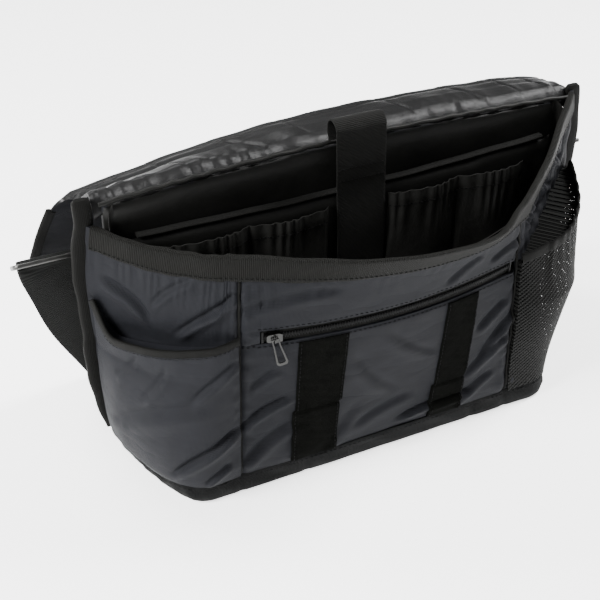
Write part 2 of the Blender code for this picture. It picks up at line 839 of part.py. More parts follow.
FOLD_AT = FLAP_TOP_LENGTH
FLAP_END = FLAP_TOP_LENGTH + FLAP_FRONT_LENGTH
fold_axis = flap_point(0.0, FOLD_AT)
ROOT_RISE = ([0.0, 0.2, 0.5, 0.8, 1.0], [0.2384, 0.2408, 0.2418, 0.2408, 0.2376])
root_front, root_back = [], []
for v in np.linspace(0.0, 1.0, 6):
    half = 0.1940 + 0.0100 * min(max(5 * v - 0.9, 0.0), 1.0)
    drooped = min(max(2.2 * v - 0.35, 0.0), 1.0)
    line, below = [], []
    for u in np.linspace(-1.0, 1.0, 15):
        x = CENTRE_X + half * u
        y = 0.0900 + 0.0360 * v + 0.22 * sag(u) * v
        level = (1 - drooped) * (0.2360 - back_top(x)) + drooped * sag(u)
        z = float(np.interp(v, *ROOT_RISE)) - level
        line.append((x, y, z + FLAP_THICK / 2))
        below.append((x, y, z - FLAP_THICK / 2))
    root_front.append(line)
    root_back.append(below)
shell("flap_root", root_front, root_back, "lining", origin=ROOT_AXIS)
flap_part("flap_top", 0.0015, FOLD_AT - 0.0015, 7, CREST_AXIS, droop=1.0)
flap_part("flap_front", FOLD_AT + 0.0015, FLAP_END - 0.0072, 8, fold_axis, ahead=0.0062)


def edge_run(side, d0, d1, steps):
    return [(side * (half_width(d) - 0.0030), d) for d in np.linspace(d0, d1, steps)]


def tape_sections(run):
    """Sections that lie in the flap's plane, square to the run."""
    points = [flap_point(CENTRE_X + x, d) for x, d in run]
    sections = []
    for i, here in enumerate(points):
        step = points[min(i + 1, len(points) - 1)] - points[max(i - 1, 0)]
        step /= np.linalg.norm(step)
        wide = np.cross(FLAP_BACK, step)
        ring = []
        for k in range(8):
            angle = 2 * math.pi * (k + 0.5) / 8
            c, q = math.cos(angle), math.sin(angle)
            x = math.copysign(abs(c) ** 0.6, c) * 0.0029
            y = math.copysign(abs(q) ** 0.6, q) * 0.0019
            ring.append(here + wide * x + FLAP_BACK * y)
        sections.append(ring)
    return sections


for name, side in (("flap_binding_left", -1), ("flap_binding_right", 1)):
    first = 0.0020 + sag(side) / math.cos(FLAP_LEAN)
    sweep(name, tape_sections(edge_run(side, first, FOLD_AT - 0.0015, 9)), "tape")
end_run = edge_run(-1, FOLD_AT + 0.0015, FLAP_END - 0.0045, 10)
end_run += [(x, FLAP_END - 0.0025) for x in np.linspace(-0.150, 0.150, 8)]
end_run += edge_run(1, FOLD_AT + 0.0015, FLAP_END - 0.0045, 10)[::-1]
sweep("flap_binding_end", tape_sections(end_run), "tape")
for name, x in (("hook_strip_left", -0.0580), ("hook_strip_right", 0.0595)):
    path = [
        flap_point(x, d, FLAP_THICK / 2 + 0.0007)
        for d in np.linspace(FOLD_AT + 0.020, FLAP_END - 0.016, 4)
    ]
    sweep(name, along(path, 0.0180, 0.0005, corner=0.25), "velcro")


# ---------------------------------------------------------------- strap anchors
def anchor(name, middle, far_bar, tilt_low, foot):
    """A webbing tab sewn on the back panel, looped round one bar of a metal ring."""
    far = np.array(far_bar, float)
    turn = RING_BAR + 0.0006 + WEBBING / 2
    # The tab's front layer, from its sewn foot up to the loop, then the layer behind.
    path = [np.array(foot, float)]
    path += [np.array(p, float) for p in middle]
    front_dir = far - path[-1]
    front_dir[0] = 0.0
    front_dir /= np.linalg.norm(front_dir)
    side = np.array([0.0, front_dir[2], -front_dir[1]])
    path.append(far - side * turn - front_dir * 0.0060)
    for k in range(9):
        angle = math.pi * k / 8
        path.append(far - side * turn * math.cos(angle) + front_dir * turn * math.sin(angle))
    path.append(far + side * (turn - 0.0006) - front_dir * 0.0060)
    last = np.array(middle[-1], float)
    before = np.array(middle[-2], float)
    gap = side * (WEBBING + 0.0006)
    path.append(last + gap)
    path.append(last * 0.4 + before * 0.6 + gap)
    wides = []
    for p in path:
        low = min(max((far[2] - p[2]) / (far[2] - foot[2]), 0.0), 1.0)
        wides.append((math.cos(tilt_low * low), 0.0, math.sin(tilt_low * low)))
    sweep(name, along(path, TAB_WIDTH / 2, WEBBING / 2, wide=wides, corner=0.25), "tape")


def ring(name, far_bar, toward):
    """A rounded rectangle of round bar. Its far bar lies on the hinge axis."""
    far, toward = np.array(far_bar, float), np.array(toward, float)
    toward /= np.linalg.norm(toward)
    ex = np.array([1.0, 0.0, 0.0])
    en = np.cross(ex, toward)
    half_x = RING_INNER[0] / 2 + RING_BAR
    deep = RING_INNER[1] + 2 * RING_BAR
    corner = 0.0030
    path = []
    corners = (
        (half_x - corner, deep - corner, 0.0),
        (-half_x + corner, deep - corner, 90.0),
        (-half_x + corner, corner, 180.0),
        (half_x - corner, corner, 270.0),
    )
    for cx, cy, start in corners:
        for k in range(4):
            angle = math.radians(start + 30.0 * k)
            path.append((cx + corner * math.cos(angle), cy + corner * math.sin(angle)))
    sections = []
    for i, (x, y) in enumerate(path):
        before, after = path[i - 1], path[(i + 1) % len(path)]
        step = np.array([after[0] - before[0], after[1] - before[1]])
        step /= np.linalg.norm(step)
        out = ex * step[1] - toward * step[0]
        here = far + ex * x + toward * y
        sections.append(
            [
                here
                + out * RING_BAR * math.cos(2 * math.pi * k / 8)
                + en * RING_BAR * math.sin(2 * math.pi * k / 8)
                for k in range(8)
            ]
        )
    sweep(name, sections, "metal", closed=True, origin=far)


LEFT_FAR = (-0.2185, 0.1290, 0.1640)
RIGHT_FAR = (0.2300, 0.1390, 0.1530)
anchor(
    "anchor_tab_left",
    [(-0.1870, 0.1075, 0.0850), (-0.2060, 0.1130, 0.1200), (-0.2150, 0.1205, 0.1480)],
    LEFT_FAR,
    math.radians(24.0),
    (-0.1660, 0.1046, 0.0430),
)
anchor(
    "anchor_tab_right",
    [(0.2060, 0.1085, 0.0850), (0.2270, 0.1180, 0.1150), (0.2310, 0.1290, 0.1370)],
    RIGHT_FAR,
    math.radians(-24.0),
    (0.1840, 0.1046, 0.0430),
)
ring("ring_left", LEFT_FAR, (0.0, -0.835, 0.550))
ring("ring_right", RIGHT_FAR, (0.0, -0.835, 0.550))

# The frame's origin is on the resting plane under the middle of the base.
BASE_MIDDLE = 0.050
for placed in bpy.context.scene.objects:
    placed.location.y -= BASE_MIDDLE
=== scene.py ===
"""Looks of the open messenger bag: fabric, webbing, mesh, zipper and metal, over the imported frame."""

import math

import bmesh
import bpy
import numpy as np
from mathutils import Matrix, Vector


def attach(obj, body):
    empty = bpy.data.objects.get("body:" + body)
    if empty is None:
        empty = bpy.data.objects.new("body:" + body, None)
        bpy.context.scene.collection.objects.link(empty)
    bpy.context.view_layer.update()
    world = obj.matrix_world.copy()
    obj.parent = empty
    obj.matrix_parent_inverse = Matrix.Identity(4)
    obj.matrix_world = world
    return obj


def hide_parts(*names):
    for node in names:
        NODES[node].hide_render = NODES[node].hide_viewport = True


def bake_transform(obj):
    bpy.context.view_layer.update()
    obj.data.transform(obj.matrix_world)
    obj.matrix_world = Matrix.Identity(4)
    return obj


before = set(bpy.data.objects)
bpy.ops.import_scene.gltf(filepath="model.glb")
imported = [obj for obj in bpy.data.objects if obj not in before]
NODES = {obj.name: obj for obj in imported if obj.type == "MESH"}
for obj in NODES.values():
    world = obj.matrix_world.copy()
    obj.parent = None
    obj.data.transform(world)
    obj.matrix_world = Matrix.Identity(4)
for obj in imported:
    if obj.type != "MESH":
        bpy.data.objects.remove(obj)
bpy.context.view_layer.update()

scene = bpy.context.scene

# ---------------------------------------------------------------- dimensions shared with the CAD
BOOT_TOP = 0.018
BASE_MIDDLE = 0.050  # shapes below are laid out from the foot of the front panel
FABRIC = 0.002
ZIP_Z = 0.140
ZIP_HALF = 0.0055
ZIP_RADIUS = 0.410
ZIP_FRONT = -0.0085
ZIP_X = (-0.1015, 0.1110)
RIM_TAPE = 0.0185
CENTRE_X = 0.0075
DIVIDER_Y = (0.0705, 0.0765)
FLAP_LEAN = math.radians(14.0)
FLAP_START = (0.1300, 0.2330)
FOLD_AT = 0.134
FLAP_END = 0.228
FLAP_THICK = 0.0025
BACK_BASE_Y = 0.1020
# The wall, from the back left edge round the front to the back right edge, as in the CAD.
# One row for each place along it: base (x, y), zipper height (x, y), rim (x, y, z).
WALL = [
    ((-0.190, 0.094), (-0.1995, 0.0880), (-0.196, 0.084, 0.2130)),
    ((-0.183, 0.065), (-0.1810, 0.0655), (-0.176, 0.064, 0.2080)),
    ((-0.177, 0.041), (-0.1650, 0.0460), (-0.156, 0.048, 0.2050)),
    ((-0.168, 0.015), (-0.1480, 0.0290), (-0.138, 0.031, 0.2055)),
    ((-0.153, 0.000), (-0.1320, 0.0150), (-0.124, 0.021, 0.2065)),
    ((-0.122, 0.000), (-0.117, 0.0082), (-0.112, 0.015, 0.2065)),
    ((-0.074, 0.000), (-0.071, -0.0024), (-0.068, -0.005, 0.2040)),
    ((-0.026, 0.000), (-0.024, -0.0078), (-0.022, -0.026, 0.2030)),
    ((0.022, 0.000), (0.023, -0.0079), (0.028, -0.0355, 0.2030)),
    ((0.070, 0.000), (0.070, -0.0025), (0.070, -0.032, 0.2030)),
    ((0.117, 0.000), (0.117, 0.0082), (0.104, -0.005, 0.2030)),
    ((0.150, 0.000), (0.136, 0.0200), (0.122, 0.008, 0.2050)),
    ((0.165, 0.012), (0.152, 0.0340), (0.140, 0.022, 0.2085)),
    ((0.172, 0.036), (0.170, 0.0500), (0.159, 0.037, 0.2160)),
    ((0.182, 0.063), (0.191, 0.0700), (0.184, 0.061, 0.2270)),
    ((0.194, 0.093), (0.213, 0.0890), (0.210, 0.086, 0.2360)),
]
BELLY = [0.004, 0.011, 0.011, 0.007, 0.003] + [0.0] * 7 + [0.001, 0.002, 0.002, 0.001]
BELLY_TOP = 0.110
LEFT, RIGHT, LAST = 5.0, 10.0, 15.0


# ---------------------------------------------------------------- the wall, for many points at once
def through(rows, s):
    """A smooth curve through the rows, read at places s."""
    rows, s = np.asarray(rows, float), np.asarray(s, float)
    if rows.ndim == 1:
        rows = rows[:, None]
    last = len(rows) - 1
    i = np.clip(np.floor(s), 0, last - 1).astype(int)
    t = (s - i)[..., None]
    p1, p2 = rows[i], rows[i + 1]
    p0 = np.where((i > 0)[..., None], rows[np.maximum(i - 1, 0)], 2 * p1 - p2)
    p3 = np.where((i + 2 <= last)[..., None], rows[np.minimum(i + 2, last)], 2 * p2 - p1)
    bend = p0 - 2.5 * p1 + 2 * p2 - 0.5 * p3
    return p1 + 0.5 * t * (p2 - p0) + t * t * bend + t**3 * (1.5 * (p1 - p2) + 0.5 * (p3 - p0))


BASE, MID, RIM = ([row[k] for row in WALL] for k in range(3))


def rim_z(s):
    return through(RIM, s)[..., 2]


def wall(s, z):
    low, mid, top = through(BASE, s), through(MID, s), through(RIM, s)
    z = np.asarray(z, float)[..., None]
    slope = (mid - low) / ZIP_Z
    span = top[..., 2:] - ZIP_Z
    bend = (top[..., :2] - mid - slope * span) / span**2
    up = np.maximum(z - ZIP_Z, 0.0)
    flat = low + slope * z + bend * up**2
    return np.concatenate([flat, z], -1)


def wall_out(s, z):
    ahead = wall(s + 0.05, z) - wall(s - 0.05, z)
    out = np.stack([ahead[..., 1], -ahead[..., 0], np.zeros(np.shape(z))], -1)
    return out / np.linalg.norm(out, axis=-1, keepdims=True)


def belly(s, z):
    t = np.clip(z / BELLY_TOP, 0.0, 1.0)
    return np.maximum(through(BELLY, s)[..., 0], 0.0) * (4 * t * (1 - t)) ** 0.8


def skin(s, z, out=0.0):
    s, z = np.broadcast_arrays(np.asarray(s, float), np.asarray(z, float))
    return wall(s, z) + wall_out(s, z) * (out + belly(s, z))[..., None]


# ---------------------------------------------------------------- how the cloth lies
def bump(d, w):
    return np.exp(-((d / w) ** 2))


def ripple(a, b, seed, scale):
    """Soft uneven swells, about -1 to 1, from a few waves with fixed phases."""
    rng = np.random.default_rng(seed)
    total = 0.0
    for _ in range(7):
        angle = rng.uniform(0, 2 * math.pi)
        rate = rng.uniform(0.6, 1.9) / scale
        phase = rng.uniform(0, 2 * math.pi)
        total = total + np.sin((a * math.cos(angle) + b * math.sin(angle)) * rate + phase)
    return total / 3.5


# Folds in the outer cloth, where the photograph shows creases, with some added.
# Each row has two ends as (place, height), then depth and width in metres.
FOLDS = [
    (1.8, 0.160, 3.0, 0.186, 0.0014, 0.0042),
    (2.6, 0.139, 5.1, 0.178, 0.0026, 0.0048),
    (3.4, 0.156, 4.3, 0.170, 0.0010, 0.0034),
    (0.4, 0.172, 1.7, 0.146, 0.0024, 0.0055),
    (5.0, 0.064, 5.8, 0.083, 0.0022, 0.0036),
    (5.2, 0.097, 5.6, 0.110, 0.0012, 0.0036),
    (5.05, 0.030, 5.9, 0.058, 0.0020, 0.0060),
    (5.1, 0.164, 6.5, 0.176, 0.0012, 0.0055),
    (6.3, 0.020, 7.0, 0.060, 0.0008, 0.0070),
    (9.35, 0.066, 9.98, 0.098, 0.0024, 0.0046),
    (9.05, 0.052, 9.9, 0.079, 0.0018, 0.0044),
    (9.2, 0.094, 9.75, 0.113, 0.0018, 0.0042),
    (7.8, 0.028, 9.2, 0.034, 0.0022, 0.0036),
    (6.9, 0.108, 7.7, 0.062, 0.0009, 0.0060),
    (7.5, 0.122, 8.4, 0.088, 0.0010, 0.0055),
    (6.95, 0.036, 8.0, 0.052, 0.0012, 0.0060),
    (8.9, 0.024, 9.6, 0.046, 0.0014, 0.0040),
    (8.4, 0.153, 9.0, 0.173, 0.0014, 0.0050),
    (9.3, 0.158, 9.95, 0.166, 0.0014, 0.0040),
    (10.3, 0.172, 11.6, 0.186, 0.0024, 0.0044),
    (11.4, 0.150, 12.9, 0.166, 0.0022, 0.0050),
    (12.4, 0.186, 13.5, 0.170, 0.0020, 0.0044),
    (13.2, 0.205, 14.4, 0.178, 0.0024, 0.0052),
]
POCKET_FOLDS = [
    (3.5, 0.098, 4.95, 0.126, 0.0018, 0.0050),
    (0.8, 0.054, 3.9, 0.096, 0.0018, 0.0085),
    (3.1, 0.032, 4.98, 0.067, 0.0030, 0.0052),
    (2.0, 0.090, 2.6, 0.118, 0.0010, 0.0060),
    (4.0, 0.024, 4.7, 0.036, 0.0016, 0.0040),
    (0.9, 0.100, 1.6, 0.118, 0.0010, 0.0050),
]
ROW = 0.040  # metres of cloth in one place of the wall, roughly
FOLD_GAIN, FOLD_WIDTH, FOLD_BOW = 1.40, 0.60, 0.05


def folds(s, z, table):
    """Each fold is a valley with a softer ridge below it, fading at its ends."""
    total = np.zeros(np.shape(s))
    for s0, z0, s1, z1, depth, width in table:
        ax, ay, bx, by = s0 * ROW, z0, s1 * ROW, z1
        long = math.hypot(bx - ax, by - ay)
        ux, uy = (bx - ax) / long, (by - ay) / long
        px, py = s * ROW - ax, z - ay
        t = (px * ux + py * uy) / long
        depth, width = FOLD_GAIN * depth, FOLD_WIDTH * width
        bow = FOLD_BOW * long * np.sin(np.pi * np.clip(t, 0, 1)) * (1 if depth > 0.0015 else -1)
        d = -px * uy + py * ux - bow
        fade = np.clip(np.minimum(t + 0.12, 1.12 - t) / 0.3, 0.0, 1.0)
        fade = fade * fade * (3 - 2 * fade)
        total += depth * fade * (-bump(d, width) + 0.8 * bump(d + 1.9 * width, 1.5 * width))
    return total


def relief(s, z):
    """Height of the outer cloth over the CAD's wall."""
    out = folds(s, z, FOLDS) + 0.0007 * ripple(s * ROW, z, 3, 0.020)
    out += 0.00025 * ripple(s * ROW, z, 9, 0.006)
    for seam in (LEFT, RIGHT):
        d = (s - seam) * ROW
        pucker = 0.0005 * np.sin(z / 0.0021 + 2.0 * np.sin(z / 0.011))
        out += -0.0016 * bump(d, 0.0028) + 0.0009 * bump(np.abs(d) - 0.006, 0.004)
        out += pucker * bump(np.abs(d) - 0.0050, 0.0045)
    under = rim_z(s) - RIM_TAPE - z
    gather = np.sin(s * 23.0 + 1.6 * np.sin(s * 7.0)) * (0.0004 + 0.0013 * (s > RIGHT + 0.2))
    out += gather * np.clip(1 - under / 0.030, 0, 1) * np.clip(under / 0.004, 0, 1)
    slack = np.clip((s - RIGHT) / 0.6, 0, 1)
    crumple = 0.0014 * np.sin(s * 9.0 + z / 0.008) * np.sin(z / 0.0125 - s * 4.0)
    out += slack * np.clip((z - 0.13) / 0.03, 0, 1) * np.clip(under / 0.01, 0, 1) * crumple
    front = (s > LEFT) & (s < RIGHT)
    out += np.where(front, -0.0010 * bump(np.abs(z - ZIP_Z) - ZIP_HALF, 0.0022), 0.0)
    out += 0.0007 * bump(z - BOOT_TOP - 0.010, 0.008) - 0.0008 * bump(z - BOOT_TOP, 0.003)
    mouth_zone = np.clip(np.sin(np.pi * np.clip(s / LEFT, 0, 1)), 0, 1) ** 0.7
    out -= 0.0060 * mouth_zone * bump(z - 0.122, 0.022)
    tuck = np.clip((z - (rim_z(s) - RIM_TAPE + 0.002)) / 0.003, 0, 1)
    return out * (1 - tuck)


# ---------------------------------------------------------------- materials
def new_material(name):
    made = bpy.data.materials.new(name)
    made.use_nodes = True
    tree = made.node_tree
    return made, tree, tree.nodes["Principled BSDF"]


def link(tree, a, out, b, into):
    tree.links.new(a.outputs[out], b.inputs[into])


def node(tree, kind, **values):
    made = tree.nodes.new(kind)
    for key, value in values.items():
        if key in made.inputs:
            made.inputs[key].default_value = value
        else:
            setattr(made, key, value)
    return made


def waves(tree, coords, period, direction, detail=0.0):
    wave = node(tree, "ShaderNodeTexWave", wave_type="BANDS", bands_direction=direction)
    wave.inputs["Scale"].default_value = 2 * math.pi / 20.0 / period
    wave.inputs["Distortion"].default_value = detail
    wave.inputs["Detail Scale"].default_value = 0.6
    tree.links.new(coords, wave.inputs["Vector"])
    return wave.outputs["Fac"]


def maths(tree, operation, a, b):
    made = node(tree, "ShaderNodeMath", operation=operation)
    for i, value in enumerate((a, b)):
        if isinstance(value, (int, float)):
            made.inputs[i].default_value = value
        else:
            tree.links.new(value, made.inputs[i])
    return made.outputs[0]


def noise(tree, coords, scale, detail=3.0, rough=0.55):
    made = node(tree, "ShaderNodeTexNoise", Scale=scale, Detail=detail, Roughness=rough)
    tree.links.new(coords, made.inputs["Vector"])
    return made.outputs["Fac"]


def coordinates(tree):
    made = tree.nodes.new("ShaderNodeTexCoord")
    return made.outputs["UV"], made.outputs["Object"]


def tint(tree, factor, dark, light):
    ramp = node(tree, "ShaderNodeValToRGB")
    ramp.color_ramp.elements[0].position = 0.25
    ramp.color_ramp.elements[1].position = 0.75
    ramp.color_ramp.elements[0].color = (*dark, 1.0)
    ramp.color_ramp.elements[1].color = (*light, 1.0)
    tree.links.new(factor, ramp.inputs["Fac"])
    return ramp.outputs["Color"]


def finish_cloth(tree, shader, heights, colour, rough, sheen, normal=0.5, distance=0.0004,
                 shine=0.07):
    if colour is not None:
        tree.links.new(colour, shader.inputs["Base Color"])
    if isinstance(rough, (int, float)):
        shader.inputs["Roughness"].default_value = rough
    else:
        tree.links.new(rough, shader.inputs["Roughness"])
    shader.inputs["Sheen Weight"].default_value = sheen
    shader.inputs["Sheen Roughness"].default_value = 0.5
    shader.inputs["Specular IOR Level"].default_value = shine
    made = node(tree, "ShaderNodeBump", Strength=normal, Distance=distance)
    tree.links.new(heights, made.inputs["Height"])
    tree.links.new(made.outputs["Normal"], shader.inputs["Normal"])


def wrinkle(tree, shader, coords, amount, scale=24.0, distance=0.0035):
    """Soft random creases under the weave: the ridges of a stretched noise."""
    turn = node(tree, "ShaderNodeMapping")
    turn.inputs["Rotation"].default_value = (0.3, 0.75, 0.2)
    turn.inputs["Scale"].default_value = (0.55, 1.0, 1.5)
    tree.links.new(coords, turn.inputs["Vector"])
    lumps = noise(tree, turn.outputs["Vector"], scale, 2.5, 0.5)
    ridge = maths(tree, "ABSOLUTE", maths(tree, "SUBTRACT", lumps, 0.5), 0.0)
    made = node(tree, "ShaderNodeBump", Strength=amount, Distance=distance)
    tree.links.new(maths(tree, "POWER", maths(tree, "ADD", ridge, 0.02), 0.6), made.inputs["Height"])
    weave = shader.inputs["Normal"].links[0].from_node
    tree.links.new(made.outputs["Normal"], weave.inputs["Normal"])


def vary(colour, amount):
    return tuple(c * amount for c in colour)


def woven(name, colour, period=0.0009, rough=0.62, sheen=0.12, spread=0.12, strength=0.35,
          crumple=0.0):
    """Plain weave: threads both ways, slightly uneven in tone, with faint large wear."""
    made, tree, shader = new_material(name)
    uv, obj = coordinates(tree)
    over = maths(tree, "ADD", waves(tree, uv, period, "X", 0.3), waves(tree, uv, period, "Y", 0.3))
    cloud = noise(tree, obj, 38.0, 5.0)
    grain = noise(tree, uv, 1800.0, 2.0)
    mix = maths(tree, "ADD", maths(tree, "MULTIPLY", cloud, 0.55), maths(tree, "MULTIPLY", grain, 0.45))
    colours = tint(tree, mix, vary(colour, 1 - spread), vary(colour, 1 + spread))
    height = maths(tree, "ADD", over, maths(tree, "MULTIPLY", noise(tree, obj, 160.0, 4.0), 2.0))
    uneven = maths(tree, "ADD", maths(tree, "MULTIPLY", cloud, 0.16), rough - 0.08)
    finish_cloth(tree, shader, height, colours, uneven, sheen, strength)
    if crumple:
        wrinkle(tree, shader, obj, crumple)
    return made


def ribbed(name, colour, period=0.0013, rough=0.60, sheen=0.15, direction="X", strength=0.9):
    """Grosgrain and webbing: ribs across the tape, with the thin threads that cross them."""
    made, tree, shader = new_material(name)
    uv, obj = coordinates(tree)
    ribs = waves(tree, uv, period, direction, 0.15)
    other = waves(tree, uv, period * 0.55, "Y" if direction == "X" else "X", 0.2)
    cloud = noise(tree, obj, 60.0, 4.0)
    # Colour follows the ribs. It is lighter on the rib tops and darker in the hollows between them,
    # which is a painted highlight and painted shade. It is mixed with random cloudy tone.
    tone = maths(tree, "ADD", maths(tree, "MULTIPLY", ribs, 0.6), maths(tree, "MULTIPLY", cloud, 0.4))
    colours = tint(tree, tone, vary(colour, 0.62), vary(colour, 1.25))
    height = maths(tree, "ADD", ribs, maths(tree, "MULTIPLY", other, 0.25))
    finish_cloth(tree, shader, height, colours, rough, sheen, strength, 0.0005)
    return made


def nylon(name, colour, rough=0.34, sheen=0.05, crinkle=0.5, shine=0.4):
    """Thin lining with a dull shine and fine crinkles."""
    made, tree, shader = new_material(name)
    uv, obj = coordinates(tree)
    fine = noise(tree, obj, 90.0, 6.0, 0.6)
    large = noise(tree, obj, 22.0, 4.0)
    colours = tint(tree, large, vary(colour, 0.8), vary(colour, 1.25))
    weave = maths(tree, "MULTIPLY", waves(tree, uv, 0.0007, "X"), 0.10)
    height = maths(tree, "ADD", fine, weave)
    uneven = maths(tree, "ADD", maths(tree, "MULTIPLY", large, 0.14), rough - 0.07)
    finish_cloth(tree, shader, height, colours, uneven, sheen, crinkle, 0.0012, shine)
    return made


def fuzzy(name, colour):
    """Hook and loop tape: a dense uneven pile."""
    made, tree, shader = new_material(name)
    obj = coordinates(tree)[1]
    pile = noise(tree, obj, 620.0, 5.0, 0.80)
    patch = noise(tree, obj, 75.0, 3.0)
    # Colour is mostly the pile's own height. It is lighter on high loops and darker in the hollows,
    # which is a painted highlight and painted shade, with random patches of tone on top.
    mix = maths(tree, "ADD", maths(tree, "MULTIPLY", pile, 0.7), maths(tree, "MULTIPLY", patch, 0.3))
    colours = tint(tree, mix, vary(colour, 0.2), vary(colour, 2.6))
    finish_cloth(tree, shader, pile, colours, 0.95, 0.0, 1.0, 0.0016, 0.02)
    return made


def netting(name, colour):
    """Knitted mesh in slanting rows, with small holes between the threads."""
    made, tree, shader = new_material(name)
    uv = coordinates(tree)[0]
    turn = node(tree, "ShaderNodeMapping")
    turn.inputs["Rotation"].default_value = (0.0, 0.0, math.radians(52.0))
    tree.links.new(uv, turn.inputs["Vector"])
    slant = waves(tree, turn.outputs["Vector"], 0.0032, "X", 0.0)
    cross = waves(tree, turn.outputs["Vector"], 0.0020, "Y", 0.0)
    hole = maths(tree, "MULTIPLY", slant, cross)
    solid = maths(tree, "LESS_THAN", hole, 0.88)
    tree.links.new(solid, shader.inputs["Alpha"])
    # Colour follows the slanting rows. It is light on the raised threads and dark in the hollows
    # towards the holes, which is a painted highlight and painted shade.
    colours = tint(tree, slant, vary(colour, 2.4), vary(colour, 0.25))
    finish_cloth(tree, shader, maths(tree, "SUBTRACT", 1.0, hole), colours, 0.65, 0.005, 1.0, 0.0014)
    return made


def metal(name, colour, rough):
    """Brushed metal, with fine lines along it and worn patches."""
    made, tree, shader = new_material(name)
    obj = coordinates(tree)[1]
    stretch = node(tree, "ShaderNodeMapping")
    stretch.inputs["Scale"].default_value = (90.0, 2600.0, 2600.0)
    tree.links.new(obj, stretch.inputs["Vector"])
    lines = noise(tree, stretch.outputs["Vector"], 1.0, 4.0)
    worn = noise(tree, obj, 260.0, 4.0)
    tree.links.new(tint(tree, worn, vary(colour, 0.82), colour), shader.inputs["Base Color"])
    uneven = maths(tree, "ADD", maths(tree, "MULTIPLY", worn, 0.18), rough - 0.06)
    tree.links.new(uneven, shader.inputs["Roughness"])
    shader.inputs["Metallic"].default_value = 1.0
    made_bump = node(tree, "ShaderNodeBump", Strength=0.15, Distance=0.0002)
    tree.links.new(lines, made_bump.inputs["Height"])
    tree.links.new(made_bump.outputs["Normal"], shader.inputs["Normal"])
    return made


def moulded(name, colour, rough):
    """Moulded plastic with a fine grain."""
    made, tree, shader = new_material(name)
    obj = coordinates(tree)[1]
    fine = noise(tree, obj, 700.0, 3.0)
    colours = tint(tree, fine, vary(colour, 0.85), vary(colour, 1.15))
    finish_cloth(tree, shader, fine, colours, rough, 0.0, 0.12, 0.0002)
    return made


SHELL = woven("shell_cloth", (0.0080, 0.0084, 0.0102), sheen=0.004, crumple=0.55)
POCKET = woven("pocket_cloth", (0.0094, 0.0098, 0.0117), sheen=0.004, crumple=0.55)
BOOT = woven("boot_cloth", (0.0032, 0.0034, 0.0034), 0.0012, 0.70, 0.01, 0.18, 0.5, 0.6)
GROSGRAIN = ribbed("rim_grosgrain", (0.0050, 0.0050, 0.0043), sheen=0.005)
WEBBING = ribbed("strap_webbing", (0.0062, 0.0062, 0.0056), 0.0012, sheen=0.01)
TAB_WEB = ribbed("tab_webbing", (0.0098, 0.0102, 0.0096), 0.0014, sheen=0.01)
TAPE = woven("binding_tape", (0.0030, 0.0030, 0.0026), 0.0007, 0.66, 0.005, 0.2, 0.4)
LINING = nylon("lining_nylon", (0.0058, 0.0058, 0.0053), 0.46, 0.0, 0.45, 0.14)
CREST = nylon("crest_nylon", (0.0036, 0.0036, 0.0037), 0.37, 0.0, 0.60, 0.19)
ORGANISER = nylon("organiser_nylon", (0.0100, 0.0100, 0.0092), 0.34, 0.0, 0.6, 0.60)
VELCRO = fuzzy("loop_pile", (0.0020, 0.0021, 0.0018))
HOOKS = fuzzy("hook_pile", (0.0035, 0.0035, 0.0035))
MESH = netting("pocket_mesh", (0.0032, 0.0033, 0.0030))
STEEL = metal("brushed_steel", (0.085, 0.085, 0.082), 0.36)
BRIGHT = metal("plated_zinc", (0.036, 0.036, 0.035), 0.28)
PLASTIC = moulded("coil_plastic", (0.005, 0.005, 0.005), 0.42)
BOARD = moulded("base_plastic", (0.030, 0.030, 0.030), 0.55)
THREAD = ribbed("black_thread", (0.0060, 0.0060, 0.0062), 0.0006, sheen=0.0)


# ---------------------------------------------------------------- meshes
def in_frame(point):
    """A point of the layout, in the frame."""
    return (float(point[0]), float(point[1]) - BASE_MIDDLE, float(point[2]))


def make(name, points, faces, body, mats, uvs=None, which=None, sharp=50.0):
    mesh = bpy.data.meshes.new(name)
    placed = np.asarray(points, float) - [0.0, BASE_MIDDLE, 0.0]
    mesh.from_pydata([tuple(p) for p in placed], [], faces)
    for mat in mats:
        mesh.materials.append(mat)
    if which is not None:
        mesh.polygons.foreach_set("material_index", np.asarray(which, np.int32))
    if uvs is not None:
        layer = mesh.uv_layers.new(name="UVMap")
        corner = np.empty(len(mesh.loops), np.int32)
        mesh.loops.foreach_get("vertex_index", corner)
        layer.data.foreach_set("uv", np.asarray(uvs, np.float32)[corner].ravel())
    work = bmesh.new()
    work.from_mesh(mesh)
    bmesh.ops.recalc_face_normals(work, faces=work.faces)
    work.to_mesh(mesh)
    work.free()
    mesh.shade_smooth()
    mesh.set_sharp_from_angle(angle=math.radians(sharp))
    obj = bpy.data.objects.new(name, mesh)
    scene.collection.objects.link(obj)
    if body is not None:
        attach(obj, body)
    return obj


def lengths(points):
    step = np.linalg.norm(np.diff(points, axis=0), axis=-1)
    return np.concatenate([[0.0], np.cumsum(step)])


def slab(name, front, back, body, mats, sharp=50.0):
    """A sheet between two grids. mats are for the front, the back and the cut edge."""
    front, back = np.asarray(front, float), np.asarray(back, float)
    rows, columns = front.shape[:2]
    more = rows * columns
    u = lengths(front[rows // 2])
    v = lengths(front[:, columns // 2])
    uv = np.stack(np.meshgrid(u, v), -1).reshape(-1, 2)
    index = np.arange(more).reshape(rows, columns)
    quads = np.stack([index[:-1, :-1], index[:-1, 1:], index[1:, 1:], index[1:, :-1]], -1)
    quads = quads.reshape(-1, 4)
    faces = [tuple(q) for q in quads] + [tuple(q[::-1] + more) for q in quads]
    which = [0] * len(quads) + [1] * len(quads)
    edge = [*index[0], *index[1:, -1], *index[-1, -2::-1], *index[-2:0:-1, 0]]
    for a, b in zip(edge, edge[1:] + edge[:1]):
        faces.append((a, a + more, b + more, b))
        which.append(2)
    mats = list(mats) + [mats[-1]] * (3 - len(mats))
    points = np.vstack([front.reshape(-1, 3), back.reshape(-1, 3)])
    return make(name, points, faces, body, mats, np.vstack([uv, uv]), which, sharp)


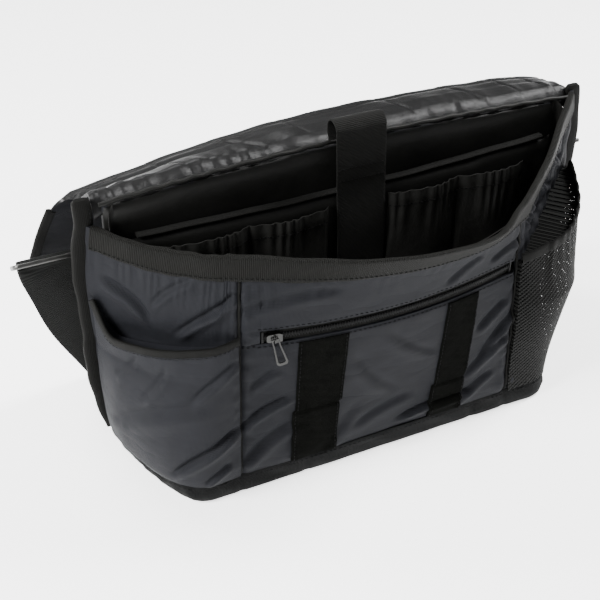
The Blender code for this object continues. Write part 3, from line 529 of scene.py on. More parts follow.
def tube(name, sections, body, mat, closed=False, sharp=60.0):
    sections = np.asarray(sections, float)
    count, size = sections.shape[:2]
    u = lengths(sections.mean(1))
    around = lengths(np.vstack([sections[0], sections[0][:1]]))[:-1]
    uv = np.stack(np.meshgrid(u, around, indexing="ij"), -1).reshape(-1, 2)
    faces = []
    for i in range(count if closed else count - 1):
        j = (i + 1) % count
        for k in range(size):
            m = (k + 1) % size
            faces.append((i * size + k, i * size + m, j * size + m, j * size + k))
    if not closed:
        faces += [tuple(range(size)), tuple((count - 1) * size + k for k in range(size))[::-1]]
    return make(name, sections.reshape(-1, 3), faces, body, [mat], uv, None, sharp)


def oval(half_wide, half_thick, corner, sides):
    angle = 2 * math.pi * (np.arange(sides) + 0.5) / sides
    c, q = np.cos(angle), np.sin(angle)
    x = np.copysign(np.abs(c) ** corner, c) * half_wide
    return np.stack([x, np.copysign(np.abs(q) ** corner, q) * half_thick], -1)


def along(path, half_wide, half_thick, wide=(1.0, 0.0, 0.0), corner=0.5, sides=16):
    path = np.asarray(path, float)
    wides = np.broadcast_to(np.asarray(wide, float), path.shape)
    shape = oval(half_wide, half_thick, corner, sides)
    step = np.gradient(path, axis=0)
    step /= np.linalg.norm(step, axis=1, keepdims=True)
    w = wides - step * (wides * step).sum(1, keepdims=True)
    w /= np.linalg.norm(w, axis=1, keepdims=True)
    n = np.cross(step, w)
    return path[:, None] + w[:, None] * shape[None, :, :1] + n[:, None] * shape[None, :, 1:]


def smooth(path, times):
    path = np.asarray(path, float)
    return through(path, np.linspace(0, len(path) - 1, (len(path) - 1) * times + 1))


def stitches(name, rows, body, mat=THREAD, long=0.0026, gap=0.0014, radius=0.00028):
    """Running stitches along each row of (points, normals), sunk at both ends."""
    points, faces, total = [], [], 0
    for line, normal in rows:
        line, normal = np.asarray(line, float), np.broadcast_to(normal, np.shape(line))
        at = lengths(line)
        begins = np.arange(0.0005, at[-1] - long, long + gap)
        for begin in begins:
            where = begin + long * np.array([0.0, 0.25, 0.75, 1.0])
            centre = np.stack([np.interp(where, at, line[:, k]) for k in range(3)], -1)
            out = np.stack([np.interp(where, at, normal[:, k]) for k in range(3)], -1)
            out /= np.linalg.norm(out, axis=1, keepdims=True)
            centre = centre + out * np.array([[-0.0002], [0.00022], [0.00022], [-0.0002]])
            step = centre[-1] - centre[0]
            side = np.cross(step / np.linalg.norm(step), out)
            for i in range(4):
                size = radius * (0.6 if i in (0, 3) else 1.0)
                for k in range(5):
                    turn = 2 * math.pi * k / 5
                    points.append(
                        centre[i] + size * (side[i] * math.cos(turn) + out[i] * math.sin(turn))
                    )
            for i in range(3):
                for k in range(5):
                    a, b = total + i * 5 + k, total + i * 5 + (k + 1) % 5
                    faces.append((a, b, b + 5, a + 5))
            faces.append(tuple(total + k for k in range(5)))
            faces.append(tuple(total + 15 + k for k in range(5))[::-1])
            total += 20
    return make(name, points, faces, body, [mat], np.asarray(points)[:, :2], None, 80.0)


def declare(grid):
    """Works out a piece of cloth's flat width, height and area, and keeps none of them."""
    grid = np.asarray(grid, float)
    wide = max(lengths(row)[-1] for row in grid)
    tall = max(lengths(grid[:, c])[-1] for c in range(grid.shape[1]))
    a = grid[1:, 1:] - grid[:-1, :-1]
    b = grid[1:, :-1] - grid[:-1, 1:]
    area = 0.5 * np.linalg.norm(np.cross(a, b), axis=-1).sum()
    area = float(min(max(area, 0.31 * wide * tall), wide * tall))


def grid_of(places, low, high, rows, point):
    """point(s, z) over a grid whose bottom and top may depend on the place."""
    s = np.asarray(places, float)[None, :]
    v = np.linspace(0.0, 1.0, rows)[:, None]
    low, high = np.broadcast_to(low, s.shape), np.broadcast_to(high, s.shape)
    z = low + (high - low) * v
    return np.broadcast_arrays(s, z)[0] * 1.0, z, point(np.broadcast_arrays(s, z)[0] * 1.0, z)


def panel(name, node_name, places, low, high, rows, mats, out=relief, thick=FABRIC):
    s, z, front = grid_of(places, low, high, rows, lambda s, z: skin(s, z, out(s, z)))
    back = skin(s, z, np.minimum(out(s, z), 0.0006) - thick)
    obj = slab(name, front, back, "bag", mats)
    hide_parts(node_name)
    declare(front)


# ---------------------------------------------------------------- front and gussets
EDGE = 0.014
front_places = np.linspace(LEFT + EDGE, RIGHT - EDGE, 230)
left_places = np.linspace(-0.13, LEFT - EDGE, 134)
right_places = np.linspace(RIGHT + EDGE, LAST + 0.13, 154)
OUTER = (SHELL, LINING, SHELL)
panel("front_lower_cloth", "front_panel_lower", front_places, BOOT_TOP + 0.0003,
      ZIP_Z - ZIP_HALF, 74, OUTER)
slot_start = float(np.interp(ZIP_X[0] - 0.0012, wall(front_places, np.full(230, ZIP_Z))[:, 0],
                             front_places))
upper_places = np.sort(np.append(front_places, [slot_start, slot_start - 0.012]))
floor_z = np.where(upper_places > slot_start - 1e-6, ZIP_Z + ZIP_HALF, ZIP_Z - ZIP_HALF + 0.0004)
panel("front_upper_cloth", "front_panel_upper", upper_places, floor_z,
      rim_z(upper_places) - 0.0013, 54, OUTER)
panel("left_gusset_cloth", "gusset_left", left_places, BOOT_TOP + 0.0003,
      rim_z(left_places) - 0.0013, 110, OUTER)
panel("right_gusset_cloth", "gusset_right", right_places, BOOT_TOP + 0.0003,
      rim_z(right_places) - 0.0013, 120, OUTER)


def lining_out(s, z):
    across = np.clip((s - LEFT) / (RIGHT - LEFT), 0, 1)
    return (-FABRIC - 0.0015 - 0.0060 * np.sin(np.pi * across) ** 0.6
            + 0.0006 * ripple(s * ROW, z, 21, 0.012))


lining_places = np.linspace(LEFT + 0.06, RIGHT - 0.06, 130)
panel("inner_front_lining", "front_pocket_lining", lining_places, 0.0062,
      rim_z(lining_places) - RIM_TAPE - 0.0010, 60, (LINING,), lining_out, 0.0010)

for name, seam_at in (("left", LEFT), ("right", RIGHT)):
    z = np.linspace(BOOT_TOP + 0.001, float(rim_z(seam_at)) - RIM_TAPE + 0.001, 120)
    s = np.full(120, seam_at)
    wander = 0.0005 * np.sin(z / 0.0045) * np.sin(z / 0.0141)
    line = skin(s, z, relief(s, z) + 0.0008 + wander)
    tube(f"{name}_seam_cord", along(line, 0.0011, 0.0010, corner=1.0, sides=8), "bag", TAPE)

# The rim's grosgrain: a folded tape with rounded top, slightly wavy as it was sewn.
rim_places = np.linspace(0.04, LAST - 0.04, 460)
fold_line = []
for k in range(7):
    turn = math.pi * k / 6
    fold_line.append((-0.0011 + 0.0027 * math.cos(turn), -0.0027 + 0.0027 * math.sin(turn)))
profile = [(0.0014, -RIM_TAPE), (0.0018, -RIM_TAPE + 0.0006), (0.0018, -0.0130), (0.0017, -0.0075)]
profile += fold_line
profile += [(-0.0038, -0.0075), (-0.0038, -0.0130), (-0.0038, -RIM_TAPE), (-0.0029, -RIM_TAPE)]
profile += [(-0.0029, -0.0075), (-0.0027, -0.0012), (0.0004, -0.0012), (0.0006, -0.0075)]
profile += [(0.0006, -RIM_TAPE)]
wave_z = 0.0007 * np.sin(rim_places * 5.1) * np.sin(rim_places * 2.3 + 1.0)
wave_o = 0.0006 * ripple(rim_places * ROW, rim_places * 0.0, 12, 0.010)
rows = []
for o, down in profile:
    deep = -down / RIM_TAPE
    extra = wave_o * (0.4 + 0.6 * deep)
    rows.append(skin(rim_places, rim_z(rim_places) + down + wave_z, o + extra))
rim = tube("rim_grosgrain_tape", np.stack(rows, 1), "bag", GROSGRAIN)
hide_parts("rim_binding")


def wall_row(places, z, out):
    """The points and normals of one row of stitches on the wall."""
    z = np.broadcast_to(z, np.shape(places)) * 1.0
    o = out(places, z) if callable(out) else out
    return skin(places, z, o), wall_out(places, z)


stitches("rim_tape_stitches", [
    wall_row(rim_places, rim_z(rim_places) - RIM_TAPE + 0.0022, 0.0019 + wave_o),
], "bag", long=0.0024, gap=0.0012)


# ---------------------------------------------------------------- base
def outline(z, inward=0.0, tuck=0.0, count=320, crease=0.0):
    s = np.linspace(0.0, LAST, count + 1)
    side = np.clip((LEFT - s) / 2, 0.0, 1.0)
    side = np.maximum(side, 0.3 * np.clip((s - RIGHT) / 2, 0.0, 1.0))
    loop = skin(s, np.full(s.shape, z), -inward - tuck * side + crease)[:, :2].tolist()
    left, right = skin(0.0, z, -tuck), skin(LAST, z, -0.3 * tuck)
    back = BACK_BASE_Y - inward
    loop.append((right[0] + 0.0005 - inward, right[1] + 0.0060 - inward))
    loop.append((right[0] - 0.0040 - inward, back))
    for x in np.linspace(right[0] - 0.03, left[0] + 0.03, 30):
        loop.append((x, back))
    loop.append((left[0] + 0.0040 + inward, back))
    loop.append((left[0] - 0.0005 + inward, left[1] + 0.0060 - inward))
    return [(x, y) for x, y in loop]


boot_s = np.linspace(0.0, LAST, 321)
# Each loop of the boot: height, how far in, how much tucked under, and share of the uneven top.
loops = []
for z, inward, tuck, top in (
    (0.0, 0.0050, 0.0095, 0.0), (0.0004, 0.0016, 0.0072, 0.0), (0.0016, 0.0002, 0.0050, 0.0),
    (0.0040, -0.0003, 0.0026, 0.0), (0.0070, -0.0004, 0.0010, 0.0), (0.0105, -0.0003, 0.0, 0.0),
    (0.0140, 0.0, 0.0, 0.5), (0.0168, 0.0001, 0.0, 1.0), (0.0180, 0.0007, 0.0, 1.0),
    (0.0180, 0.0022, 0.0, 1.0), (0.0100, 0.0024, 0.0, 0.0), (0.0045, 0.0032, 0.0035, 0.0),
    (0.0022, 0.0052, 0.0080, 0.0),
):
    swell = 0.0007 * ripple(boot_s * ROW, boot_s * 0 + z * 2, 31, 0.016)
    swell += 0.0006 * np.sin(boot_s * 3.1) * np.sin(boot_s * 7.7 + z * 300)
    dips = sum(bump((boot_s - at) * ROW, 0.0030) for at in (LEFT, RIGHT, 6.15, 9.3))
    crease = (swell * min(z / 0.006, 1.0) - 0.0009 * dips) * (inward < 0.002)
    lift = 0.0006 * top * ripple(boot_s * ROW, boot_s * 0, 33, 0.020)
    flat = outline(max(z, 0.002), inward, tuck, crease=crease)
    heights = np.full(len(flat), z)
    heights[: len(boot_s)] += np.minimum(lift, 0.0002)
    loops.append([(x, y, h) for (x, y), h in zip(flat, heights)])
size = len(loops[0])
faces = []
for i in range(len(loops) - 1):
    for k in range(size):
        m = (k + 1) % size
        faces.append((i * size + k, i * size + m, (i + 1) * size + m, (i + 1) * size + k))
faces.append(tuple(range(size))[::-1])
faces.append(tuple((len(loops) - 1) * size + k for k in range(size)))
rim_length = lengths(np.array(loops[5] + loops[5][:1]))[:-1]
climb = np.cumsum([0.0] + [0.0035] * (len(loops) - 1))
boot_uv = np.array([(u, v) for v in climb for u in rim_length])
boot = make("base_boot_cloth", np.array(loops).reshape(-1, 3), faces, "bag", [BOOT], boot_uv,
            None, 60.0)
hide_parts("base_boot")
stitches("boot_seam_stitches", [
    wall_row(boot_s[3:-3], 0.0153, 0.0006),
], "bag", long=0.0028)

# ---------------------------------------------------------------- left pocket


def mouth_left(s):
    """The pocket's mouth: level at the front, then up beside the back edge."""
    low = 0.1195 + 0.0205 * (np.clip(s, 0, None) / LEFT) ** 1.1
    return low + 0.0330 * bump(s + 0.05, 0.42)


def left_bulge(s, z):
    across = np.clip(s / LEFT, 0.0, 1.0)
    up = np.clip((z - BOOT_TOP) / 0.10, 0.0, 1.0)
    rounded = np.sin(np.pi * across) ** 0.55
    return 0.0018 + 0.0112 * rounded * up**0.7


def pocket_out(s, z):
    out = left_bulge(s, z) + folds(s, z, POCKET_FOLDS)
    out += 0.0008 * ripple(s * ROW, z, 41, 0.022) + 0.0002 * ripple(s * ROW, z, 43, 0.006)
    near = (LEFT - s) * ROW
    out += 0.0010 * bump(near - 0.005, 0.004) * np.sin(z / 0.0024 + 1.5 * np.sin(z / 0.013)) * 0.5
    return out - 0.0012 * bump(z - BOOT_TOP, 0.004)


pocket_places = np.linspace(0.06, LEFT - 0.03, 130)
panel("left_pocket_cloth", "side_pocket_left", pocket_places, BOOT_TOP + 0.0006,
      mouth_left(pocket_places), 92, (POCKET, LINING, POCKET), pocket_out, 0.0012)
mouth_places = np.linspace(0.08, LEFT - 0.03, 110)
mouth_z = mouth_left(mouth_places)
mouth = skin(mouth_places, mouth_z + 0.0022, pocket_out(mouth_places, mouth_z) - 0.0003)
lip = tube("left_pocket_binding", along(mouth, 0.0034, 0.0016, (0.0, 0.0, 1.0), 0.7, 14), "bag",
           TAPE)
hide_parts("side_pocket_binding")
stitches("left_pocket_stitches", [
    wall_row(mouth_places, mouth_z - 0.0012, lambda s, z: pocket_out(s, mouth_left(s)) + 0.0010),
], "bag", long=0.0022, gap=0.0012)


# ---------------------------------------------------------------- mesh pocket
def mouth_right(s):
    across = (s - RIGHT) / (LAST - RIGHT)
    return 0.1420 + 0.0240 * np.clip(across, 0, 1) ** 0.7 - 0.004 * np.sin(np.pi * across)


def right_bulge(s, z):
    across = np.clip((s - RIGHT) / (LAST - RIGHT), 0.0, 1.0)
    up = np.clip((z - BOOT_TOP) / 0.085, 0.0, 1.0)
    return 0.0018 + 0.0280 * np.sin(np.pi * across) ** 0.8 * up**1.2


def mesh_out(s, z):
    out = right_bulge(s, z) + 0.0012 * ripple(s * ROW, z, 51, 0.020)
    high = np.clip(1 - (mouth_right(s) - z) / 0.035, 0, 1)
    across = np.clip((s - RIGHT) / (LAST - RIGHT), 0.0, 1.0)
    return out + 0.0005 * high * np.sin(s * 15.0) * np.sin(np.pi * across)


mesh_places = np.linspace(RIGHT + 0.04, LAST - 0.08, 150)
panel("mesh_pocket_net", "mesh_pocket_right", mesh_places, BOOT_TOP + 0.0006,
      mouth_right(mesh_places), 96, (MESH,), mesh_out, 0.0007)
elastic_places = np.linspace(RIGHT + 0.05, LAST - 0.10, 150)
edge_z = mouth_right(elastic_places)
edge = skin(elastic_places, edge_z + 0.0034, mesh_out(elastic_places, edge_z) - 0.0006)
elastic = tube("mesh_pocket_elastic_band", along(edge, 0.0046, 0.0015, (0.0, 0.0, 1.0), 0.7, 14),
               "bag", TAPE)
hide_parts("mesh_pocket_elastic")


# ---------------------------------------------------------------- back panel and its bindings
def back_inner(z):
    return 0.0905 - 0.0075 * z / 0.236


def back_top(x):
    across = (x - CENTRE_X) / 0.2
    return 0.2360 - 0.0080 * across**2 + 0.0020 * across


CLOTH_FRAMES = 14


def inflate(node_name, name, voxel, pressure, cap, mats):
    """Padded fabric: a CAD solid, remeshed and pushed outward.

    The cloth simulation gives each point its direction. Nearly every point would move further
    than the cap, so the cap sets how far it goes and the result is close to an even offset.
    """
    mesh = NODES[node_name].data.copy()
    obj = bpy.data.objects.new(name, mesh)
    scene.collection.objects.link(obj)
    bpy.context.view_layer.objects.active = obj
    for other in bpy.context.selected_objects:
        other.select_set(False)
    obj.select_set(True)
    remesh = obj.modifiers.new("remesh", "REMESH")
    remesh.mode = "VOXEL"
    remesh.voxel_size = voxel
    bpy.ops.object.modifier_apply(modifier="remesh")
    before = np.array([v.co for v in obj.data.vertices])
    cloth = obj.modifiers.new("cloth", "CLOTH")
    cloth.settings.use_pressure = True
    cloth.settings.uniform_pressure_force = pressure
    cloth.settings.effector_weights.gravity = 0.0
    cloth.settings.quality = 4
    cloth.point_cache.frame_start = 1
    cloth.point_cache.frame_end = CLOTH_FRAMES
    for step in range(1, CLOTH_FRAMES + 1):
        scene.frame_set(step)
    after = obj.evaluated_get(bpy.context.evaluated_depsgraph_get()).data
    moved = np.array([v.co for v in after.vertices]) - before
    obj.modifiers.remove(cloth)
    scene.frame_set(1)
    size = np.linalg.norm(moved, axis=1, keepdims=True)
    moved *= np.minimum(1.0, cap / np.maximum(size, 1e-9))
    for vertex, place in zip(obj.data.vertices, before + moved):
        vertex.co = place
    obj.data.materials.clear()
    for mat in mats:
        obj.data.materials.append(mat)
    obj.data.polygons.foreach_set(
        "material_index",
        np.array([1 if p.normal.y < -0.25 else 0 for p in obj.data.polygons], np.int32),
    )
    layer = obj.data.uv_layers.get("UVMap") or obj.data.uv_layers.new(name="UVMap")
    flat = np.array([obj.data.vertices[loop.vertex_index].co for loop in obj.data.loops])
    layer.data.foreach_set("uv", flat[:, [0, 2]].astype(np.float32).ravel())
    obj.data.shade_smooth()
    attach(obj, "bag")
    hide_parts(node_name)


inflate("back_panel", "back_panel_pad", 0.0050, 4.0, 0.0016, (SHELL, LINING))
inflate("laptop_divider", "laptop_divider_pad", 0.0040, 3.0, 0.0009, (LINING, LINING))

for name, side, top in (("left", -1, 0.2325), ("right", 1, 0.2385)):
    place = 0.0 if side < 0 else LAST
    z = np.linspace(BOOT_TOP + 0.0006, top, 90)
    at = skin(np.full(90, place), np.minimum(z, float(rim_z(place))))
    lean = np.maximum(at[:, 1] - back_inner(z), 0.0)
    wob = 0.0006 * np.sin(z / 0.013) + 0.0003 * np.sin(z / 0.005)
    low = (side < 0) * np.clip((0.075 - z) / 0.055, 0.0, 1.0) ** 1.4
    path = np.stack([at[:, 0] + side * (0.0033 + wob - 0.0040 * low),
                     back_inner(z) + lean + 0.0048, z], -1)
    rings = along(path, 0.0068, 0.0031, corner=0.62, sides=20)
    ends = 1.0 - 0.42 * low - 0.30 * np.clip((z - top + 0.004) / 0.004, 0.0, 1.0) ** 3
    rings = path[:, None] + (rings - path[:, None]) * ends[:, None, None]
    tape = tube(f"{name}_edge_tape", rings, "bag", TAPE)
    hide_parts(f"back_binding_{name}")
    front = np.array([0.0, -1.0, 0.0])
    stitches(f"{name}_edge_stitches", [(path + front * 0.0031 - [side * 0.0045, 0, 0], front)],
             "bag", long=0.0024, gap=0.0013)

# Each end of the back panel is closed to the gusset by a strip of lining with the shell behind it.
for name, near, edge, top in (("left", 0.52, 0.0180, 0.2290), ("right", LAST - 0.52, -0.0220, 0.2350)):
    z = np.linspace(BOOT_TOP - 0.004, top, 80)[:, None]
    v = np.linspace(0.0, 1.0, 14)[None, :]
    corner = skin(np.full(80, 0.0 if near < LEFT else LAST), np.minimum(z[:, 0], float(rim_z(near))))
    inner = np.stack([corner[:, 0] + edge, back_inner(z[:, 0]) - 0.0008, z[:, 0]], -1)[:, None]
    outer = skin(np.full(80, near), np.minimum(z[:, 0], float(rim_z(near)) - 0.004), -0.0032)
    outer = outer[:, None]
    bow = np.sin(np.pi * v)[..., None] * np.array([-np.sign(edge) * 0.0012, 0.0020, 0.0])
    front = inner * (1 - v[..., None]) + outer * v[..., None] + bow
    front[..., 1] += 0.0004 * ripple(z + 0 * v, v * 0.02, 91, 0.014)
    gore = slab(f"{name}_corner_lining", front, front + [0.0, 0.0009, 0.0], "bag",
                (LINING, SHELL, LINING))
    declare(front)

x = np.linspace(-0.1880, 0.2050, 260)
pucker = 0.0004 * np.sin(x / 0.0032 + 2 * np.sin(x / 0.02))
seam = np.stack([x, back_inner(0.236) + 0.0004 + 0 * x, back_top(x) + 0.0022 + pucker], -1)
roll = tube("lining_seam_roll", along(seam, 0.0018, 0.0017, (0.0, 1.0, 0.0), 1.0, 10), "bag",
            LINING)
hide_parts("lining_piping")

# ---------------------------------------------------------------- zipper
CENTRE_Y = ZIP_FRONT + ZIP_RADIUS
START, STOP = (math.asin(v / ZIP_RADIUS) for v in ZIP_X)


def arc(angle, z, out):
    r = ZIP_RADIUS + out
    angle, z, r = np.broadcast_arrays(angle, z, r)
    return np.stack([r * np.sin(angle), CENTRE_Y - r * np.cos(angle), z * 1.0], -1)


turn = np.linspace(START, STOP, 160)
levels = np.linspace(-0.0090, 0.0090, 13)
outs = -0.0029 + 0.0007 * bump(np.abs(levels) - 0.0040, 0.0012)
front = np.stack([arc(turn, ZIP_Z + a, b) for a, b in zip(levels, outs)])
back = np.stack([arc(turn, ZIP_Z + a, -0.0037) for a in levels])
strip = slab("zipper_tape_cloth", front, back, "bag", (TAPE,))
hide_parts("zipper_tape")

COIL_PITCH, COIL_SIDES, COIL_STEPS, COIL_END = 0.00105, 6, 7, 0.005
LAST_RING = (COIL_STEPS - 1) * COIL_SIDES
coil_span = STOP - START - 2 * COIL_END
points, faces = [], []
count = int(coil_span * ZIP_RADIUS / COIL_PITCH)
for i in range(count):
    mid_angle = START + COIL_END + coil_span * (i + 0.5) / count
    shift = 0.0006 if i % 2 else -0.0006
    first = len(points)
    for u in np.linspace(-1, 1, COIL_STEPS):
        fat = 0.00050 * (1 - 0.35 * abs(u)) * (1.25 if abs(u) < 0.4 else 1.0)
        for k in range(COIL_SIDES):
            a = 2 * math.pi * k / COIL_SIDES
            points.append(arc(mid_angle + fat * math.cos(a) / ZIP_RADIUS,
                              ZIP_Z + shift + 0.0019 * u,
                              -0.0018 + fat * 1.3 * math.sin(a)))
    for j in range(COIL_STEPS - 1):
        ring = first + j * COIL_SIDES
        for k in range(COIL_SIDES):
            a, b = ring + k, ring + (k + 1) % COIL_SIDES
            faces.append((a, b, b + COIL_SIDES, a + COIL_SIDES))
    faces.append(tuple(first + k for k in range(COIL_SIDES)))
    faces.append(tuple(first + LAST_RING + k for k in range(COIL_SIDES))[::-1])
coil = make("zipper_coil_teeth", points, faces, "bag", [PLASTIC], np.array(points)[:, ::2], None,
            60.0)
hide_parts("zipper_coil")


def bevelled(node_name, name, body, mat, width):
    """A small hard piece: the CAD's own shape with its edges broken."""
    obj = bpy.data.objects.new(name, NODES[node_name].data.copy())
    scene.collection.objects.link(obj)
    obj.data.materials.clear()
    obj.data.materials.append(mat)
    weld = obj.modifiers.new("weld", "WELD")
    weld.merge_threshold = 0.00001
    bevel = obj.modifiers.new("bevel", "BEVEL")
    bevel.width = width
    bevel.segments = 3
    bevel.limit_method = "ANGLE"
    bevel.angle_limit = math.radians(35)
    obj.data.shade_smooth()
    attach(obj, body)
    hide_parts(node_name)


bevelled("zipper_slider", "slider_body", "slider", BRIGHT, 0.00045)
bevelled("zipper_pull", "pull_tab", "pull", BRIGHT, 0.00030)
bevelled("zipper_end_left", "zipper_stop_left", "bag", PLASTIC, 0.0003)
bevelled("zipper_end_right", "zipper_stop_right", "bag", PLASTIC, 0.0003)
bevelled("base_board", "base_stiffener", "bag", BOARD, 0.0008)

beside = np.linspace(slot_start - 0.05, RIGHT - 0.03, 200)
lead = np.linspace(LEFT + 0.03, slot_start - 0.05, 24)
stitches("zipper_frame_stitches", [
    wall_row(beside, ZIP_Z + ZIP_HALF + 0.0022, lambda s, z: relief(s, z) + 0.0001),
    wall_row(beside, ZIP_Z - ZIP_HALF - 0.0022, lambda s, z: relief(s, z) + 0.0001),
    wall_row(lead, ZIP_Z - ZIP_HALF - 0.0012, lambda s, z: relief(s, z) + 0.0001),
], "bag")


# ---------------------------------------------------------------- loop strips on the front
def place_at(x, z):
    s = np.linspace(LEFT, RIGHT, 400)
    return np.interp(x, wall(s, np.full(400, z))[:, 0], s)


def front_strip(name, node_name, x_low, x_high, half, ledge):
    z_low, z_high = 0.0202, 0.1325
    zs = np.linspace(z_low, z_high, 90)
    columns = np.linspace(-1, 1, 22)
    s = np.empty((90, 22))
    for i, z in enumerate(zs):
        middle = x_low + (x_high - x_low) * (z - z_low) / (z_high - z_low)
        slip = -0.0022 if z < ledge else 0.0
        s[i] = place_at(middle + slip + columns * half, z)
    z = np.repeat(zs[:, None], 22, 1)
    rise = 0.0014 + 0.0007 * np.clip((1 - np.abs(columns)) * 6, 0, 1)[None, :]
    rise = rise + 0.0006 * np.tanh((ledge - z) / 0.0012) - 0.0010 * bump(z - ledge, 0.0012)
    rise = rise + 0.00025 * ripple(s * ROW * 8, z * 8, 61, 0.012)
    front = skin(s, z, relief(s, z) + rise)
    back = skin(s, z, relief(s, z) + 0.0003)
    obj = slab(name, front, back, "bag", (VELCRO,))
    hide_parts(node_name)
    rows = []
    for column in (1, -2):
        line = skin(s[:, column], zs, relief(s[:, column], zs) + rise[:, column] + 0.0002)
        rows.append((line, wall_out(s[:, column], zs)))
    stitches(name + "_stitches", rows, "bag", long=0.0024, gap=0.0012)


front_strip("left_loop_pile", "loop_strip_left", -0.0600, -0.0560, 0.0190, 0.067)
front_strip("right_loop_pile", "loop_strip_right", 0.0570, 0.0620, 0.0150, 0.052)


# ---------------------------------------------------------------- inside
def divider_top(x):
    u = (x - CENTRE_X) / 0.18
    return 0.2005 + 0.0030 * u + 0.0050 * u * u


x = np.linspace(-0.1660, 0.1740, 240)
sway = 0.0005 * np.sin(x / 0.011) * np.sin(x / 0.031)
top = np.stack([x, np.full(240, sum(DIVIDER_Y) / 2) + sway, divider_top(x) + 0.0016], -1)
tape = tube("divider_edge_tape", along(top, 0.0035, 0.0015, (0.0, 1.0, 0.0), 0.8, 14), "bag",
            TAPE)
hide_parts("divider_binding")


def organiser(name, node_name, x0, x1, stitched, seed):
    """A gathered pocket: an elastic hem at the top, and soft uprights below it."""
    lines, seed_of = [x0, *stitched, x1], int(seed * 10)
    x = np.linspace(x0, x1, 260)
    lane = np.clip(np.searchsorted(lines, x, side="right") - 1, 0, len(lines) - 2)
    a, b = np.array(lines)[lane], np.array(lines)[lane + 1]
    u = (x - a) / (b - a)
    v = np.linspace(0.0, 1.0, 90)[:, None]
    z = np.broadcast_to(0.0300 + v * 0.1630, (90, 260)) * 1.0
    full = np.sin(np.pi * u)[None, :] ** 0.6 * np.minimum(1.0, 0.25 + v)
    pleat = np.sin(x / 0.00145 + 2.2 * np.sin(x / 0.0075 + seed))[None, :]
    strong = np.clip((v - 0.70) / 0.26, 0, 1) ** 1.3
    long_fold = np.sin(x / 0.0052 + 1.4 * np.sin(x / 0.021 + seed) + 3 * (1 - v))
    y = DIVIDER_Y[0] - 0.0012 - 0.0068 * full
    edge = np.minimum(1.0, 12 * u * (1 - u))[None, :]
    y = y - edge * (0.0008 * pleat * strong + 0.0004 * long_fold * v
                    + 0.0010 * ripple(x[None, :] + 0 * v, v * 0.09, seed_of, 0.009))
    hem = bump(v - 0.955, 0.028)
    y = y - 0.0006 * hem + edge * 0.0003 * pleat * hem
    front = np.stack([np.broadcast_to(x, z.shape), np.maximum(y - 0.0010, 0.0598), z], -1)
    behind = front + [0.0, 0.0008, 0.0]
    obj = slab(name, front, behind, "bag", (ORGANISER,))
    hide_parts(node_name)
    declare(front)
    down = np.linspace(0.034, 0.190, 60)
    rows = []
    for line in lines[1:-1]:
        middle = np.stack([np.full(60, line), np.full(60, DIVIDER_Y[0] - 0.0024), down], -1)
        rows.append((middle, np.array([0.0, -1.0, 0.0])))
    hem_line = front[83] + [0.0, -0.0003, 0.0]
    rows.append((hem_line, np.array([0.0, -1.0, 0.0])))
    stitches(name + "_stitches", rows, "bag", long=0.0022, gap=0.0012)


organiser("left_organiser_cloth", "organiser_left", -0.1500, -0.0180, (-0.0830,), 1.0)
organiser("right_organiser_cloth", "organiser_right", 0.0330, 0.1560, (0.0950,), 2.0)

STRAP_X, LEG_Y = 0.0070, 0.0675
path = [(0.0, 0.0800, 0.2420), (0.0, 0.0822, 0.2470)]
for k in range(9):
    a = math.pi * k / 8
    path.append((0.0, (0.0825 + LEG_Y) / 2 + (0.0825 - LEG_Y) / 2 * math.cos(a),
                 0.2520 + 0.0078 * math.sin(a)))
path += [(0.0, LEG_Y, z) for z in (0.2350, 0.2150, 0.1950, 0.1750, 0.1550, 0.1350)]
path = [(STRAP_X + 0.0035 * (0.2520 - p[2]) / 0.11, p[1], p[2]) for p in path]
strap_line = smooth(path, 9)
fall = np.clip((0.235 - strap_line[:, 2]) / 0.03, 0, 1)
strap_line[:, 1] -= 0.0006 * fall * (1 + np.sin(strap_line[:, 2] / 0.012))
strap = tube("sleeve_strap_web", along(strap_line, 0.0205, 0.0008, corner=0.30, sides=24), "strap",
             WEBBING)
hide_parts("sleeve_strap")
box_rows = []
for z in (0.2230, 0.2130):
    xs = np.linspace(-0.0115, 0.0265, 40)
    ys = np.interp(z, strap_line[::-1, 2][:70], strap_line[::-1, 1][:70])
    box_rows.append((np.stack([xs, np.full(40, ys - 0.0009), np.full(40, z)], -1),
                     np.array([0.0, -1.0, 0.0])))
stitches("sleeve_strap_stitches", box_rows, "strap", long=0.0022, gap=0.0010)
bevelled("strap_hook_patch", "strap_hook_pile", "strap", HOOKS, 0.0003)
bevelled("divider_loop_patch", "divider_loop_pile", "bag", VELCRO, 0.0003)


# ---------------------------------------------------------------- flap
def half_width(d):
    at = [0.0, 0.018, 0.035, 0.061, 0.0825, 0.1175, 0.133, 0.147, 0.163, 0.178, 0.193, 0.208,
          0.2205, 0.228]
    half = [0.204, 0.212, 0.221, 0.2305, 0.2365, 0.2345, 0.2325, 0.2295, 0.2235, 0.217, 0.209,
            0.199, 0.183, 0.165]
    return np.interp(d, at, half)


FLAP_DOWN = np.array([0.0, math.sin(FLAP_LEAN), -math.cos(FLAP_LEAN)])
FLAP_BACK = np.array([0.0, math.cos(FLAP_LEAN), math.sin(FLAP_LEAN)])


def flap_point(x, d, back=0.0):
    x, d, back = np.broadcast_arrays(np.asarray(x, float), d, back)
    start = np.array([0.0, *FLAP_START])
    across = np.stack([x, np.zeros(x.shape), np.zeros(x.shape)], -1)
    return start + FLAP_DOWN * d[..., None] + FLAP_BACK * back[..., None] + across


def sag(u):
    return np.where(u < 0, 0.0300 * np.abs(u) ** 1.7, 0.0145 * np.abs(u) ** 2.6)


ROOT_V, ROOT_Z = [0.0, 0.2, 0.5, 0.8, 1.0], [0.2384, 0.2408, 0.2418, 0.2408, 0.2376]


